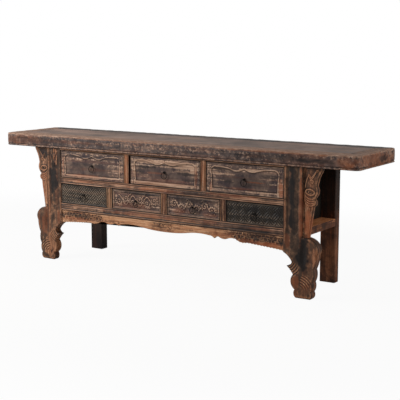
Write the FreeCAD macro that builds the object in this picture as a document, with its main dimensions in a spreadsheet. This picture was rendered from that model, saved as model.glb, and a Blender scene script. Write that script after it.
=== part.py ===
import FreeCAD, Part
import math
import os
from types import SimpleNamespace

import Sketcher
from FreeCAD import Vector

# Altar coffer: a long top on carved front legs and plain rear legs, with three upper and four lower drawers.
# Millimetres. +Z is up, -Y is the front, and the origin is on the floor under the middle of the top.

doc = FreeCAD.newDocument("AltarTable")
sheet = doc.addObject("Spreadsheet::Sheet", "sizes")
pieces = []


class Length:
    # A number, together with the formula over the size sheet that gives it
    def __init__(self, number, formula):
        self.number = number
        self.formula = formula

    def __add__(self, other):
        return combine(self, "+", other)

    def __radd__(self, other):
        return combine(other, "+", self)

    def __sub__(self, other):
        return combine(self, "-", other)

    def __rsub__(self, other):
        return combine(other, "-", self)

    def __mul__(self, other):
        return combine(self, "*", other)

    def __rmul__(self, other):
        return combine(other, "*", self)

    def __truediv__(self, other):
        return combine(self, "/", other)

    def __neg__(self):
        return Length(-self.number, f"-{self.formula}")


def numberOf(value):
    return value.number if isinstance(value, Length) else float(value)


def formulaOf(value):
    return value.formula if isinstance(value, Length) else repr(value)


def combine(left, sign, right):
    a = numberOf(left)
    b = numberOf(right)
    result = {"+": lambda: a + b, "-": lambda: a - b, "*": lambda: a * b, "/": lambda: a / b}[sign]()
    return Length(result, f"({formulaOf(left)} {sign} {formulaOf(right)})")


def fillSheet(values):
    for row, (name, value) in enumerate(values.items(), start=1):
        sheet.set(f"A{row}", name)
        sheet.set(f"B{row}", str(value))
        sheet.setAlias(f"B{row}", name)
    doc.recompute()
    return SimpleNamespace(**{name: Length(float(sheet.get(name)), f"sizes.{name}") for name in values})


drivingSizes = {
    # Whole table
    "tableLength": 2630,
    "tableDepth": 530,
    "tableHeight": 850,
    "overrun": 5,
    # Mitred top frame, its floating panel and the battens below
    "topThick": 84,
    "topCornerRadius": 36,
    "topArrisChamfer": 4,
    "topBeadHeight": 11,
    "topQuirkHeight": 4,
    "topQuirkDepth": 3,
    "frameWidth": 96,
    "frameTenonWidth": 40,
    "frameTenonThick": 24,
    "frameTenonInset": 14,
    "frameTenonLow": 26,
    "panelThick": 22,
    "panelSink": 0.6,
    "tongueDepth": 12,
    "tongueThick": 8,
    "tongueDrop": 8,
    "battenWidth": 50,
    "battenNeckWidth": 38,
    "battenTailWidth": 46,
    "battenTailHeight": 8,
    "battenTenonLength": 14,
    "battenTenonHeight": 24,
    "battenTenonLow": 12,
    # Legs
    "topOverhang": 353,
    "postWidth": 120,
    "frontSetback": 21,
    "frontLegDepth": 50,
    "shoulderReach": 104,
    "shoulderRise": 6,
    "apronReveal": 4,
    "legRelief": 3,
    "legStripWidth": 24,
    "rearSetback": 4,
    "rearLegWidth": 100,
    "rearLegDepth": 60,
    "rearLegChamfer": 6,
    "legTenonLength": 42,
    "legTenonThick": 24,
    "legTenonInset": 34,
    # Heights down the front, between the top and the apron
    "topRailHeight": 11,
    "upperOpening": 182,
    "middleRailHeight": 42,
    "lowerOpening": 129,
    "bottomRailHeight": 50,
    # Rails between the front legs
    "railDepth": 45,
    "railMouldDepth": 5,
    "railTenonLength": 30,
    "railTenonThick": 14,
    "railTenonSetback": 18,
    "railTenonShoulder": 6,
    "topRailDepth": 40,
    # Dividers between the drawers
    "dividerDepth": 45,
    "upperDividerWidth": 40,
    "middleOpeningSlack": 14,
    "lowerDividerWidth": 46,
    "dividerTenonLength": 8,
    "dividerTenonWidth": 22,
    # Apron
    "apronThick": 22,
    "apronSetback": 6,
    "apronDrop": 86,
    "apronTongueThick": 8,
    "apronTongueHeight": 8,
    "apronTenonLength": 10,
    # Spandrels
    "spandrelReach": 120,
    "spandrelThick": 25,
    "spandrelSetback": 12,
    "spandrelTongueThick": 9,
    "spandrelTongueDepth": 8,
    "spandrelTongueMargin": 22,
    # Ends of the case
    "sidePanelThick": 14,
    "sidePanelGroove": 8,
    "sideShelfHeight": 46,
    "sideShelfTenonWidth": 40,
    "sideTopRailHeight": 30,
    "sideTopRailWidth": 40,
    "sideTenonLength": 16,
    "sideTenonShoulder": 9,
    # Back of the case
    "rearRailDepth": 40,
    "rearTopRailHeight": 30,
    "rearTenonLength": 25,
    "backPanelThick": 10,
    "backPanelGroove": 8,
    "backPanelSetback": 15,
    # Drawer runners
    "runnerThick": 20,
    "runnerLedge": 30,
    "runnerGuideHeight": 20,
    "runnerTenonLength": 8,
    "runnerTenonThick": 12,
    # Drawers
    "frontThick": 22,
    "frontInset": 3,
    "frontSideGap": 2,
    "frontTopGap": 3,
    "frontBottomGap": 1,
    "frontEdgeChamfer": 1.2,
    "middleDrawerShift": 3,
    "wallThick": 12,
    "upperWallHeight": 150,
    "lowerWallHeight": 96,
    "tailLength": 13,
    "tailFlare": 3,
    "bottomThick": 8,
    "bottomGroove": 5,
    "bottomLift": 7,
    "closingGap": 3,
    "upperFieldDepth": 3,
    "matFieldDepth": 1.5,
    "matBorder": 8,
    "leafFieldDepth": 3,
    "leafBorder": 12,
    # Ring pulls
    "ringRadius": 19.75,
    "ringWire": 2.25,
    "ringPlay": 0.4,
    "eyeRadius": 6,
    "eyeWidth": 3.6,
    "eyeStand": 9,
    "shankHalf": 2,
    "shankGap": 0.3,
    "rosetteRadius": 9,
    "rosetteThick": 2.4,
    "rosetteChamfer": 1.8,
    "clinchLength": 34,
    "clinchWidth": 5,
    "clinchThick": 1.6,
}
size = fillSheet(drivingSizes)

# Places that several pieces share
halfLength = size.tableLength / 2
halfDepth = size.tableDepth / 2
slabLow = size.tableHeight - size.topThick
frameInnerX = halfLength - size.frameWidth
frameInnerY = halfDepth - size.frameWidth
panelHigh = size.tableHeight - size.panelSink
panelLow = panelHigh - size.panelThick

caseFront = size.frontSetback - halfDepth
frontLegBack = caseFront + size.frontLegDepth
caseRear = halfDepth - size.rearSetback
rearLegFront = caseRear - size.rearLegDepth
postOuter = halfLength - size.topOverhang
caseHalf = postOuter - size.postWidth
rearLegInner = postOuter - size.rearLegWidth

topRailLow = slabLow - size.topRailHeight
middleRailHigh = topRailLow - size.upperOpening
middleRailLow = middleRailHigh - size.middleRailHeight
bottomRailHigh = middleRailLow - size.lowerOpening
bottomRailLow = bottomRailHigh - size.bottomRailHeight
shoulderHigh = bottomRailLow + size.shoulderRise
legWaist = bottomRailLow - size.apronDrop - size.apronReveal

rearRailFront = caseRear - size.rearRailDepth
backPanelFront = rearRailFront + size.backPanelSetback
backPanelBack = backPanelFront + size.backPanelThick
sidePanelInner = rearLegInner - size.sidePanelThick
battenOuter = rearLegInner - size.sidePanelThick / 2
battenInner = battenOuter / 3
lowerDividerPlace = (caseHalf + size.lowerDividerWidth / 2) / 2

# The middle upper opening is the two outer ones' width and some slack
upperOuterOpening = (caseHalf * 2 - size.upperDividerWidth * 2 - size.middleOpeningSlack) / 3
upperOuterCentre = caseHalf - upperOuterOpening / 2
upperDividerPlace = caseHalf - upperOuterOpening - size.upperDividerWidth / 2
lowerOpeningWidth = lowerDividerPlace - size.lowerDividerWidth
lowerOuterOpening = caseHalf - lowerDividerPlace - size.lowerDividerWidth / 2


def bind(item, name, value):
    if isinstance(value, Length):
        item.setExpression(name, value.formula)


def keep(item):
    pieces.append(item)
    return item


def newBody(name):
    body = doc.addObject("PartDesign::Body", name)
    body.Label = name
    return body


def originPlane(body, role):
    return next(item for item in body.Origin.OriginFeatures if item.Role == role)


def sketchAt(body, role, start):
    sketch = body.newObject("Sketcher::SketchObject", "Outline")
    sketch.AttachmentSupport = [(originPlane(body, role), "")]
    sketch.MapMode = "FlatFace"
    # The XZ plane looks along -Y, and the other two look along their positive axis
    bind(sketch, "AttachmentOffset.Base.z", -start if role == "XZ_Plane" else start)
    return sketch


def spot(point):
    return Vector(numberOf(point[0]), numberOf(point[1]), 0)


def pin(sketch, edge, end, point):
    for kind, place in zip(("DistanceX", "DistanceY"), point):
        index = sketch.addConstraint(Sketcher.Constraint(kind, -1, 1, edge, end, numberOf(place)))
        bind(sketch, f"Constraints[{index}]", place)


def drawOutline(sketch, start, *runs):
    # A run is (corner,) for a straight edge, or (a point on the arc, corner); a gap left at the end is closed
    if not spot(runs[-1][-1]).isEqual(spot(start), 1e-7):
        runs = runs + ((start,),)
    corners = [start] + [run[-1] for run in runs[:-1]]
    edges = []
    for corner, run in zip(corners, runs):
        first = spot(corner)
        last = spot(run[-1])
        if len(run) == 1:
            edges.append((sketch.addGeometry(Part.LineSegment(first, last)), 1, 2))
            continue
        middle = spot(run[0])
        turnsLeft = (middle - first).cross(last - first).z > 0
        arc = Part.Arc(first, middle, last) if turnsLeft else Part.Arc(last, middle, first)
        edge = sketch.addGeometry(arc)
        edges.append((edge, 1, 2) if turnsLeft else (edge, 2, 1))
        mark = sketch.addGeometry(Part.Point(middle), True)
        sketch.addConstraint(Sketcher.Constraint("PointOnObject", mark, 1, edge))
        pin(sketch, mark, 1, run[0])
    for index, (edge, first, last) in enumerate(edges):
        following = edges[(index + 1) % len(edges)]
        sketch.addConstraint(Sketcher.Constraint("Coincident", edge, last, following[0], following[1]))
        pin(sketch, edge, first, corners[index])


def rectangle(low, high):
    return low, ((high[0], low[1]),), (high,), ((low[0], high[1]),)


def evenPolygon(centre, radius, sideCount):
    # An outline of equal sides about a circle that they touch, with one side level at its top
    half = math.pi / sideCount
    corners = []
    for number in range(sideCount):
        angle = math.pi / 2 + half * (2 * number + 1)
        across = math.cos(angle) / math.cos(half)
        up = math.sin(angle) / math.cos(half)
        corners.append((centre[0] + radius * across, centre[1] + radius * up))
    return corners[0], *[(corner,) for corner in corners[1:]]


def drawCircle(sketch, centre, radius):
    circle = Part.Circle(spot(centre), Vector(0, 0, 1), numberOf(radius))
    edge = sketch.addGeometry(circle)
    pin(sketch, edge, 3, centre)
    index = sketch.addConstraint(Sketcher.Constraint("Radius", edge, numberOf(radius)))
    bind(sketch, f"Constraints[{index}]", radius)


def pad(body, role, low, high, *outlines):
    sketch = sketchAt(body, role, high if role == "XZ_Plane" else low)
    for outline in outlines:
        drawOutline(sketch, *outline)
    feature = body.newObject("PartDesign::Pad", "Pad")
    feature.Profile = sketch
    bind(feature, "Length", high - low)
    return feature


def pocket(body, role, low, high, *outlines, circles=()):
    sketch = sketchAt(body, role, low if role == "XZ_Plane" else high)
    for outline in outlines:
        drawOutline(sketch, *outline)
    for centre, radius in circles:
        drawCircle(sketch, centre, radius)
    feature = body.newObject("PartDesign::Pocket", "Pocket")
    feature.Profile = sketch
    bind(feature, "Length", high - low)
    return feature


def block(body, name, low, high):
    return placeBlock(body.newObject("PartDesign::AdditiveBox", name), low, high)


def cutBlock(body, name, low, high):
    return placeBlock(body.newObject("PartDesign::SubtractiveBox", name), low, high)


def placeBlock(item, low, high):
    for side, axis, start, end in zip(("Length", "Width", "Height"), "xyz", low, high):
        bind(item, side, end - start)
        bind(item, f"Placement.Base.{axis}", start)
    return item


def mirrorFeature(body, feature):
    copy = body.newObject("PartDesign::Mirrored", "Mirrored")
    copy.Originals = [feature]
    copy.MirrorPlane = (originPlane(body, "YZ_Plane"), [""])
    body.Tip = copy
    return copy


def chamferEdges(body, width, chosen):
    doc.recompute()
    base = body.Tip
    edges = enumerate(base.Shape.Edges, start=1)
    names = [f"Edge{number}" for number, edge in edges if chosen(edge.BoundBox)]
    chamfer = body.newObject("PartDesign::Chamfer", "EasedEdges")
    chamfer.Base = (base, names)
    bind(chamfer, "Size", width)
    return chamfer


def mirroredPiece(source, name):
    item = doc.addObject("Part::Mirroring", name)
    item.Label = name
    item.Source = source
    item.Normal = Vector(1, 0, 0)
    return item


def group(name, items):
    compound = doc.addObject("Part::Compound", name)
    compound.Label = name
    compound.Links = items
    return compound


def placeAt(item, x, y, z):
    for axis, place in zip("xyz", (x, y, z)):
        bind(item, f"Placement.Base.{axis}", place)
    return item


def span(side, near, far):
    # The stretch from near to far, on the right for side 1 and mirrored to the left for side -1
    return (near, far) if side > 0 else (-far, -near)


def flat(value, low, high):
    # Whether a box is a plane at the value between its low and high limits
    return abs(low - numberOf(value)) < 1e-4 and abs(high - numberOf(value)) < 1e-4


def shareRuns(shares, acrossFrom, acrossSize, upFrom, upSize):
    # Turns rows of shares, (x, z) or (via x, via z, x, z), into runs of an outline
    runs = []
    for row in shares:
        pairs = zip(row[::2], row[1::2])
        runs.append(tuple((acrossFrom + acrossSize * across, upFrom + upSize * up) for across, up in pairs))
    return runs


# Joints of the frame: each box is added to the tenoned piece and cut from the mortised one

def legTenon(inner, front, depth):
    middle = front + depth / 2
    return (
        (inner + size.legTenonInset, middle - size.legTenonThick / 2, slabLow - size.overrun),
        (postOuter - size.legTenonInset, middle + size.legTenonThick / 2, slabLow + size.legTenonLength),
    )


def railTenon(side, low, high):
    ends = span(side, caseHalf, caseHalf + size.railTenonLength)
    back = caseFront + size.railTenonSetback + size.railTenonThick
    return (
        (ends[0], caseFront + size.railTenonSetback, low + size.railTenonShoulder),
        (ends[1], back, high - size.railTenonShoulder),
    )


def topRailTenon(side):
    ends = span(side, caseHalf, caseHalf + size.railTenonLength)
    front = caseFront + size.railTenonSetback
    return (ends[0], front, topRailLow), (ends[1], front + size.railTenonThick, slabLow)


def apronTenon(side):
    ends = span(side, caseHalf, caseHalf + size.apronTenonLength)
    middle = caseFront + size.apronSetback + size.apronThick / 2
    return (
        (ends[0], middle - size.apronTongueThick / 2, bottomRailLow - size.apronDrop / 2),
        (ends[1], middle + size.apronTongueThick / 2, bottomRailLow - size.apronTongueHeight),
    )


def apronTongue():
    middle = caseFront + size.apronSetback + size.apronThick / 2
    return (
        (-caseHalf, middle - size.apronTongueThick / 2, bottomRailLow),
        (caseHalf, middle + size.apronTongueThick / 2, bottomRailLow + size.apronTongueHeight),
    )


spandrelFront = caseFront + size.spandrelSetback
spandrelTongueFront = spandrelFront + (size.spandrelThick - size.spandrelTongueThick) / 2


def spandrelSideTongue():
    return (
        (postOuter - size.spandrelTongueDepth, spandrelTongueFront, shoulderHigh + size.spandrelTongueMargin),
        (postOuter, spandrelTongueFront + size.spandrelTongueThick, slabLow - size.spandrelTongueMargin),
    )


def spandrelTopTongue(side):
    near = postOuter + size.spandrelTongueMargin
    far = postOuter + size.spandrelReach - size.spandrelTongueMargin
    ends = span(side, near, far)
    back = spandrelTongueFront + size.spandrelTongueThick
    return (ends[0], spandrelTongueFront, slabLow), (ends[1], back, slabLow + size.spandrelTongueDepth)


def shelfTenon(start, end):
    middle = (rearLegInner + postOuter) / 2
    low = bottomRailHigh - size.sideShelfHeight + size.sideTenonShoulder
    return (
        (middle - size.sideShelfTenonWidth / 2, start, low),
        (middle + size.sideShelfTenonWidth / 2, end, bottomRailHigh - size.sideTenonShoulder),
    )


def sideTopTenon(start, end):
    shoulder = size.sideTenonShoulder
    return (
        (rearLegInner + shoulder, start, slabLow - size.sideTopRailHeight + shoulder),
        (rearLegInner + size.sideTopRailWidth - shoulder, end, slabLow - shoulder),
    )


def rearTenon(side, low, high):
    ends = span(side, rearLegInner, rearLegInner + size.rearTenonLength)
    middle = caseRear - size.rearRailDepth / 2
    return (
        (ends[0], middle - size.railTenonThick / 2, low + size.railTenonShoulder),
        (ends[1], middle + size.railTenonThick / 2, high - size.railTenonShoulder),
    )


def battenTenon(place, side):
    ends = span(side, frameInnerY, frameInnerY + size.battenTenonLength)
    low = slabLow + size.battenTenonLow
    return (
        (place - size.battenNeckWidth / 2, ends[0], low),
        (place + size.battenNeckWidth / 2, ends[1], low + size.battenTenonHeight),
    )


def frameTenon(sideX, sideY):
    near = frameInnerX + size.frameTenonInset
    endsX = span(sideX, near, near + size.frameTenonWidth)
    endsY = span(sideY, frameInnerY, halfDepth - size.frameTenonInset)
    low = slabLow + size.frameTenonLow
    return (endsX[0], endsY[0], low), (endsX[1], endsY[1], low + size.frameTenonThick)


def runnerTenon(place, seat, start, end):
    high = seat - (size.runnerThick - size.runnerTenonThick) / 2
    return (
        (place - size.dividerTenonWidth / 2, start, high - size.runnerTenonThick),
        (place + size.dividerTenonWidth / 2, end, high),
    )


def dividerTenon(place, start, end):
    front = caseFront + size.railTenonSetback
    return (
        (place - size.dividerTenonWidth / 2, front, start),
        (place + size.dividerTenonWidth / 2, front + size.railTenonThick, end),
    )


upperDividers = (-upperDividerPlace, upperDividerPlace)
lowerDividers = (-lowerDividerPlace, 0, lowerDividerPlace)
endRunnerPlace = sidePanelInner - (size.runnerLedge + sidePanelInner - caseHalf) / 2
battenPlaces = (-battenOuter, -battenInner, battenInner, battenOuter)
mouldedRails = ((middleRailLow, middleRailHigh), (bottomRailLow, bottomRailHigh))
rearRails = ((slabLow - size.rearTopRailHeight, slabLow),) + mouldedRails


# Top

def edgeMoulding(body):
    # A quirk all round the edge leaves a bead along the underside
    low = slabLow + size.topBeadHeight
    insetX = halfLength - size.topQuirkDepth
    insetY = halfDepth - size.topQuirkDepth
    pocket(
        body, "XY_Plane", low, low + size.topQuirkHeight,
        rectangle((-halfLength - size.overrun, -halfDepth - size.overrun),
                  (halfLength + size.overrun, halfDepth + size.overrun)),
        roundedRectangle(insetX, insetY, size.topCornerRadius - size.topQuirkDepth),
    )


def cornerPoint(halfX, halfY, radius, signX, signY, turnShare):
    # A point on the rounded corner; the turn runs from 0 on the long side to 1 on the short side
    angle = math.radians(90) * turnShare
    x = halfX - radius * (1 - math.sin(angle))
    y = halfY - radius * (1 - math.cos(angle))
    return signX * x, signY * y


def roundedRectangle(halfX, halfY, radius):
    def corner(signX, signY, turns):
        return tuple(cornerPoint(halfX, halfY, radius, signX, signY, turn) for turn in turns)

    start = cornerPoint(halfX, halfY, radius, -1, -1, 0)
    return (
        start,
        (cornerPoint(halfX, halfY, radius, 1, -1, 0),),
        corner(1, -1, (0.5, 1)),
        (cornerPoint(halfX, halfY, radius, 1, 1, 1),),
        corner(1, 1, (0.5, 0)),
        (cornerPoint(halfX, halfY, radius, -1, 1, 0),),
        corner(-1, 1, (0.5, 1)),
        (cornerPoint(halfX, halfY, radius, -1, -1, 1),),
        corner(-1, -1, (0.5, 0)),
    )


def topTongueGroove(body):
    high = panelHigh - size.tongueDrop
    cutBlock(
        body, "TongueGroove",
        (-frameInnerX - size.tongueDepth, -frameInnerY - size.tongueDepth, high - size.tongueThick),
        (frameInnerX + size.tongueDepth, frameInnerY + size.tongueDepth, high),
    )


def topRail(name, side):
    body = newBody(name)

    def corner(signX, turns):
        radius = size.topCornerRadius
        return tuple(cornerPoint(halfLength, halfDepth, radius, signX, side, turn) for turn in turns)

    pad(body, "XY_Plane", slabLow, size.tableHeight, (
        (-frameInnerX, side * frameInnerY),
        corner(-1, (0.5,)),
        corner(-1, (0.25, 0)),
        corner(1, (0,)),
        corner(1, (0.25, 0.5)),
        ((frameInnerX, side * frameInnerY),),
    ))
    limit = numberOf(halfDepth - size.topCornerRadius)
    easeTopEdges(body, lambda box: side * (box.YMin + box.YMax) / 2 > limit)
    edgeMoulding(body)
    topTongueGroove(body)
    for end in (1, -1):
        cutBlock(body, "FrameMortise", *frameTenon(end, side))
    for place in battenPlaces:
        cutBlock(body, "BattenMortise", *battenTenon(place, side))
    return body


def easeTopEdges(body, outside):
    def chosen(box):
        level = flat(size.tableHeight, box.ZMin, box.ZMax) or flat(slabLow, box.ZMin, box.ZMax)
        return level and outside(box)

    chamferEdges(body, size.topArrisChamfer, chosen)


def topEnd(name):
    body = newBody(name)

    def corner(signY, turns):
        radius = size.topCornerRadius
        return tuple(cornerPoint(halfLength, halfDepth, radius, 1, signY, turn) for turn in turns)

    pad(body, "XY_Plane", slabLow, size.tableHeight, (
        (frameInnerX, -frameInnerY),
        corner(-1, (0.5,)),
        corner(-1, (0.75, 1)),
        corner(1, (1,)),
        corner(1, (0.75, 0.5)),
        ((frameInnerX, frameInnerY),),
    ))
    easeTopEdges(body, lambda box: (box.XMin + box.XMax) / 2 > numberOf(halfLength - size.topCornerRadius))
    edgeMoulding(body)
    topTongueGroove(body)
    for side in (1, -1):
        block(body, "FrameTenon", *frameTenon(1, side))
    return body


def makeTop():
    frontRail = topRail("top_front_rail", -1)
    rearRail = topRail("top_rear_rail", 1)
    for end in (1, -1):
        mortise = legTenon(caseHalf, caseFront, size.frontLegDepth)
        ends = span(end, mortise[0][0], mortise[1][0])
        cutBlock(frontRail, "LegMortise", (ends[0], *mortise[0][1:]), (ends[1], *mortise[1][1:]))
        mortise = legTenon(rearLegInner, rearLegFront, size.rearLegDepth)
        ends = span(end, mortise[0][0], mortise[1][0])
        cutBlock(rearRail, "LegMortise", (ends[0], *mortise[0][1:]), (ends[1], *mortise[1][1:]))
        cutBlock(frontRail, "SpandrelGroove", *spandrelTopTongue(end))
    rightEnd = topEnd("top_end_right")
    for item in (frontRail, rearRail, rightEnd, mirroredPiece(rightEnd, "top_end_left")):
        keep(item)

    panel = newBody("top_panel")
    pad(panel, "XY_Plane", panelLow, panelHigh,
        rectangle((-frameInnerX, -frameInnerY), (frameInnerX, frameInnerY)))
    tongueHigh = panelHigh - size.tongueDrop
    pad(panel, "XY_Plane", tongueHigh - size.tongueThick, tongueHigh, rectangle(
        (-frameInnerX - size.tongueDepth, -frameInnerY - size.tongueDepth),
        (frameInnerX + size.tongueDepth, frameInnerY + size.tongueDepth),
    ))
    pocket(panel, "XZ_Plane", -frameInnerY, frameInnerY, *[battenTail(place) for place in battenPlaces])
    keep(panel)

    battens = []
    for place in (battenInner, battenOuter):
        body = newBody("Batten")
        pad(body, "XZ_Plane", -frameInnerY, frameInnerY, battenSection(place))
        for side in (1, -1):
            block(body, "Tenon", *battenTenon(place, side))
        battens += [body, mirroredPiece(body, "BattenLeft")]
    keep(group("top_battens", battens))


def battenTail(place):
    return (
        (place - size.battenNeckWidth / 2, panelLow),
        ((place + size.battenNeckWidth / 2, panelLow),),
        ((place + size.battenTailWidth / 2, panelLow + size.battenTailHeight),),
        ((place - size.battenTailWidth / 2, panelLow + size.battenTailHeight),),
    )


def battenSection(place):
    tail = battenTail(place)
    return (
        (place - size.battenWidth / 2, slabLow),
        ((place + size.battenWidth / 2, slabLow),),
        ((place + size.battenWidth / 2, panelLow),),
        tail[1], tail[2], tail[3],
        (tail[0],),
        ((place - size.battenWidth / 2, panelLow),),
    )


# Legs

# Outer edge of a front leg from the shoulder to the floor: shares of the shoulder's reach and of its height
legOuterShares = [
    (0.31, 1.0),
    (0.69, 0.965, 0.93, 0.9),
    (1.02, 0.825, 0.94, 0.735),
    (0.905, 0.635, 0.755, 0.5),
    (0.8, 0.4, 0.69, 0.29),
    (0.725, 0.2, 0.625, 0.125),
    (0.665, 0.055, 0.53, 0.0),
]
# Inner edge from the floor to the waist: shares of the post's width and of the waist's height
legInnerShares = [
    (0.7, 0.0),
    (0.59, 0.09, 0.64, 0.19),
    (0.425, 0.35, 0.54, 0.52),
    (0.42, 0.6, 0.2, 0.7),
    (0.38, 0.73, 0.47, 0.8),
    (0.29, 0.91, 0.0, 1.0),
]
# Lower end of the sunk channel on the post's face: shares of the post's width and of the shoulder's height
channelFootShares = (0.5, 0.92)


def makeFrontLegs():
    leg = newBody("front_leg_right")
    pad(leg, "XZ_Plane", caseFront, frontLegBack, (
        (caseHalf, slabLow),
        ((postOuter, slabLow),),
        ((postOuter, shoulderHigh),),
        *shareRuns(legOuterShares, postOuter, size.shoulderReach, 0, shoulderHigh),
        *shareRuns(legInnerShares, caseHalf, size.postWidth, 0, legWaist),
    ))
    channelLow = caseHalf + size.legStripWidth
    channelHigh = postOuter - size.legStripWidth
    pocket(leg, "XZ_Plane", caseFront, caseFront + size.legRelief, (
        (channelLow, slabLow + size.overrun),
        ((channelLow, bottomRailHigh),),
        ((caseHalf + size.postWidth * channelFootShares[0], shoulderHigh * channelFootShares[1]),
         (channelHigh, bottomRailHigh)),
        ((channelHigh, slabLow + size.overrun),),
    ))
    block(leg, "TopTenon", *legTenon(caseHalf, caseFront, size.frontLegDepth))
    cutBlock(leg, "TopRailMortise", *topRailTenon(1))
    for low, high in mouldedRails:
        cutBlock(leg, "RailMortise", *railTenon(1, low, high))
    cutBlock(leg, "ApronMortise", *apronTenon(1))
    cutBlock(leg, "SpandrelGroove", *spandrelSideTongue())
    cutBlock(leg, "ShelfMortise", *shelfTenon(frontLegBack - size.sideTenonLength, frontLegBack))
    cutBlock(leg, "SideRailMortise", *sideTopTenon(frontLegBack - size.sideTenonLength, frontLegBack))
    cutBlock(leg, "PanelGroove",
             (sidePanelInner, frontLegBack - size.sidePanelGroove, bottomRailLow),
             (rearLegInner, frontLegBack, slabLow))
    keep(leg)
    keep(mirroredPiece(leg, "front_leg_left"))


def makeRearLegs():
    leg = newBody("rear_leg_right")
    pad(leg, "XY_Plane", 0, slabLow, rectangle((rearLegInner, rearLegFront), (postOuter, caseRear)))
    outer = numberOf(postOuter)

    def chosen(box):
        return flat(outer, box.XMin, box.XMax) and box.ZLength > box.YLength

    chamferEdges(leg, size.rearLegChamfer, chosen)
    block(leg, "TopTenon", *legTenon(rearLegInner, rearLegFront, size.rearLegDepth))
    for low, high in rearRails:
        cutBlock(leg, "RailMortise", *rearTenon(1, low, high))
    cutBlock(leg, "ShelfMortise", *shelfTenon(rearLegFront, rearLegFront + size.sideTenonLength))
    cutBlock(leg, "SideRailMortise", *sideTopTenon(rearLegFront, rearLegFront + size.sideTenonLength))
    keep(leg)
    keep(mirroredPiece(leg, "rear_leg_left"))


# Spandrels

# Free edge of a spandrel from the leg's shoulder up to the top: shares of its reach and of its height
spandrelShares = [
    (0.33, 0.0),
    (0.43, 0.22, 0.55, 0.446),
    (0.665, 0.475, 0.565, 0.555),
    (0.77, 0.645, 0.715, 0.735),
    (0.775, 0.83, 0.91, 0.92),
    (0.98, 0.96),
    (1.0, 1.0),
]


def makeSpandrels():
    spandrel = newBody("spandrel_right")
    pad(spandrel, "XZ_Plane", spandrelFront, spandrelFront + size.spandrelThick, (
        (postOuter, slabLow),
        ((postOuter, shoulderHigh),),
        *shareRuns(spandrelShares, postOuter, size.spandrelReach, shoulderHigh, slabLow - shoulderHigh),
    ))
    block(spandrel, "SideTongue", *spandrelSideTongue())
    block(spandrel, "TopTongue", *spandrelTopTongue(1))
    keep(spandrel)
    keep(mirroredPiece(spandrel, "spandrel_left"))


# Rails, dividers and apron between the front legs

# Moulded face of a rail from its lower edge up: shares of the mould's depth and of the rail's height
railFaceShares = [
    (0.0, 0.085, 0.35, 0.17),
    (1.0, 0.22),
    (0.1, 0.5, 1.0, 0.78),
    (0.35, 0.83),
    (0.0, 0.915, 0.35, 1.0),
]
railFaceStartShare = 0.35


def mouldedRail(name, low, high):
    body = newBody(name)
    pad(body, "YZ_Plane", -caseHalf, caseHalf, (
        (caseFront + size.railDepth, low),
        ((caseFront + size.railMouldDepth * railFaceStartShare, low),),
        *shareRuns(railFaceShares, caseFront, size.railMouldDepth, low, high - low),
        ((caseFront + size.railDepth, high),),
    ))
    for side in (1, -1):
        block(body, "Tenon", *railTenon(side, low, high))
    return body


def makeFrontRails():
    back = caseFront + size.railDepth
    mortiseFront = back - size.runnerTenonLength
    topRailBody = newBody("front_top_rail")
    pad(topRailBody, "YZ_Plane", -caseHalf, caseHalf,
        rectangle((caseFront, topRailLow), (caseFront + size.topRailDepth, slabLow)))
    for side in (1, -1):
        block(topRailBody, "Tenon", *topRailTenon(side))
    middle = mouldedRail("front_middle_rail", middleRailLow, middleRailHigh)
    bottom = mouldedRail("front_bottom_rail", bottomRailLow, bottomRailHigh)
    reach = size.dividerTenonLength
    for place in upperDividers:
        cutBlock(topRailBody, "DividerMortise", *dividerTenon(place, topRailLow, topRailLow + reach))
        cutBlock(middle, "DividerMortise", *dividerTenon(place, middleRailHigh - reach, middleRailHigh))
        cutBlock(middle, "RunnerMortise", *runnerTenon(place, middleRailHigh, mortiseFront, back))
    for place in lowerDividers:
        cutBlock(middle, "DividerMortise", *dividerTenon(place, middleRailLow, middleRailLow + reach))
        cutBlock(bottom, "DividerMortise", *dividerTenon(place, bottomRailHigh - reach, bottomRailHigh))
        cutBlock(bottom, "RunnerMortise", *runnerTenon(place, bottomRailHigh, mortiseFront, back))
    for rail, seat in ((middle, middleRailHigh), (bottom, bottomRailHigh)):
        for place in (-endRunnerPlace, endRunnerPlace):
            cutBlock(rail, "RunnerMortise", *runnerTenon(place, seat, mortiseFront, back))
    cutBlock(bottom, "ApronGroove", *apronTongue())
    for rail in (topRailBody, middle, bottom):
        keep(rail)


# Face of a divider in plan from its left edge: shares of its width and of the mould's depth
dividerFaceShares = [
    (0.1, 0.0, 0.2, 0.35),
    (0.24, 1.0),
    (0.5, 0.3, 0.76, 1.0),
    (0.8, 0.35),
    (0.9, 0.0, 1.0, 0.35),
]
dividerFaceStartShare = 0.35


def divider(place, width, low, high):
    body = newBody("Divider")
    left = place - width / 2
    right = place + width / 2
    back = caseFront + size.dividerDepth
    pad(body, "XY_Plane", low, high, (
        (left, back),
        ((left, caseFront + size.railMouldDepth * dividerFaceStartShare),),
        *shareRuns(dividerFaceShares, left, width, caseFront, size.railMouldDepth),
        ((right, back),),
    ))
    block(body, "LowerTenon", *dividerTenon(place, low - size.dividerTenonLength, low))
    block(body, "UpperTenon", *dividerTenon(place, high, high + size.dividerTenonLength))
    return body


def makeDividers():
    upper = [divider(place, size.upperDividerWidth, middleRailHigh, topRailLow) for place in upperDividers]
    keep(group("upper_dividers", upper))
    lower = [divider(place, size.lowerDividerWidth, bottomRailHigh, middleRailLow) for place in lowerDividers]
    keep(group("lower_dividers", lower))


# Lower edge of the apron from the middle to the leg: shares of the half length and of the full drop
apronShares = [
    (0.12, -0.71, 0.21, -0.6),
    (0.3, -0.52, 0.39, -0.57),
    (0.42, -0.63, 0.435, -0.735),
    (0.445, -0.65, 0.475, -0.59),
    (0.52, -0.71, 0.55, -0.64),
    (0.59, -0.58, 0.615, -0.63),
    (0.63, -0.72, 0.7, -0.8),
    (0.85, -0.88, 1.0, -1.0),
]
apronMiddleShare = -0.75


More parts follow.
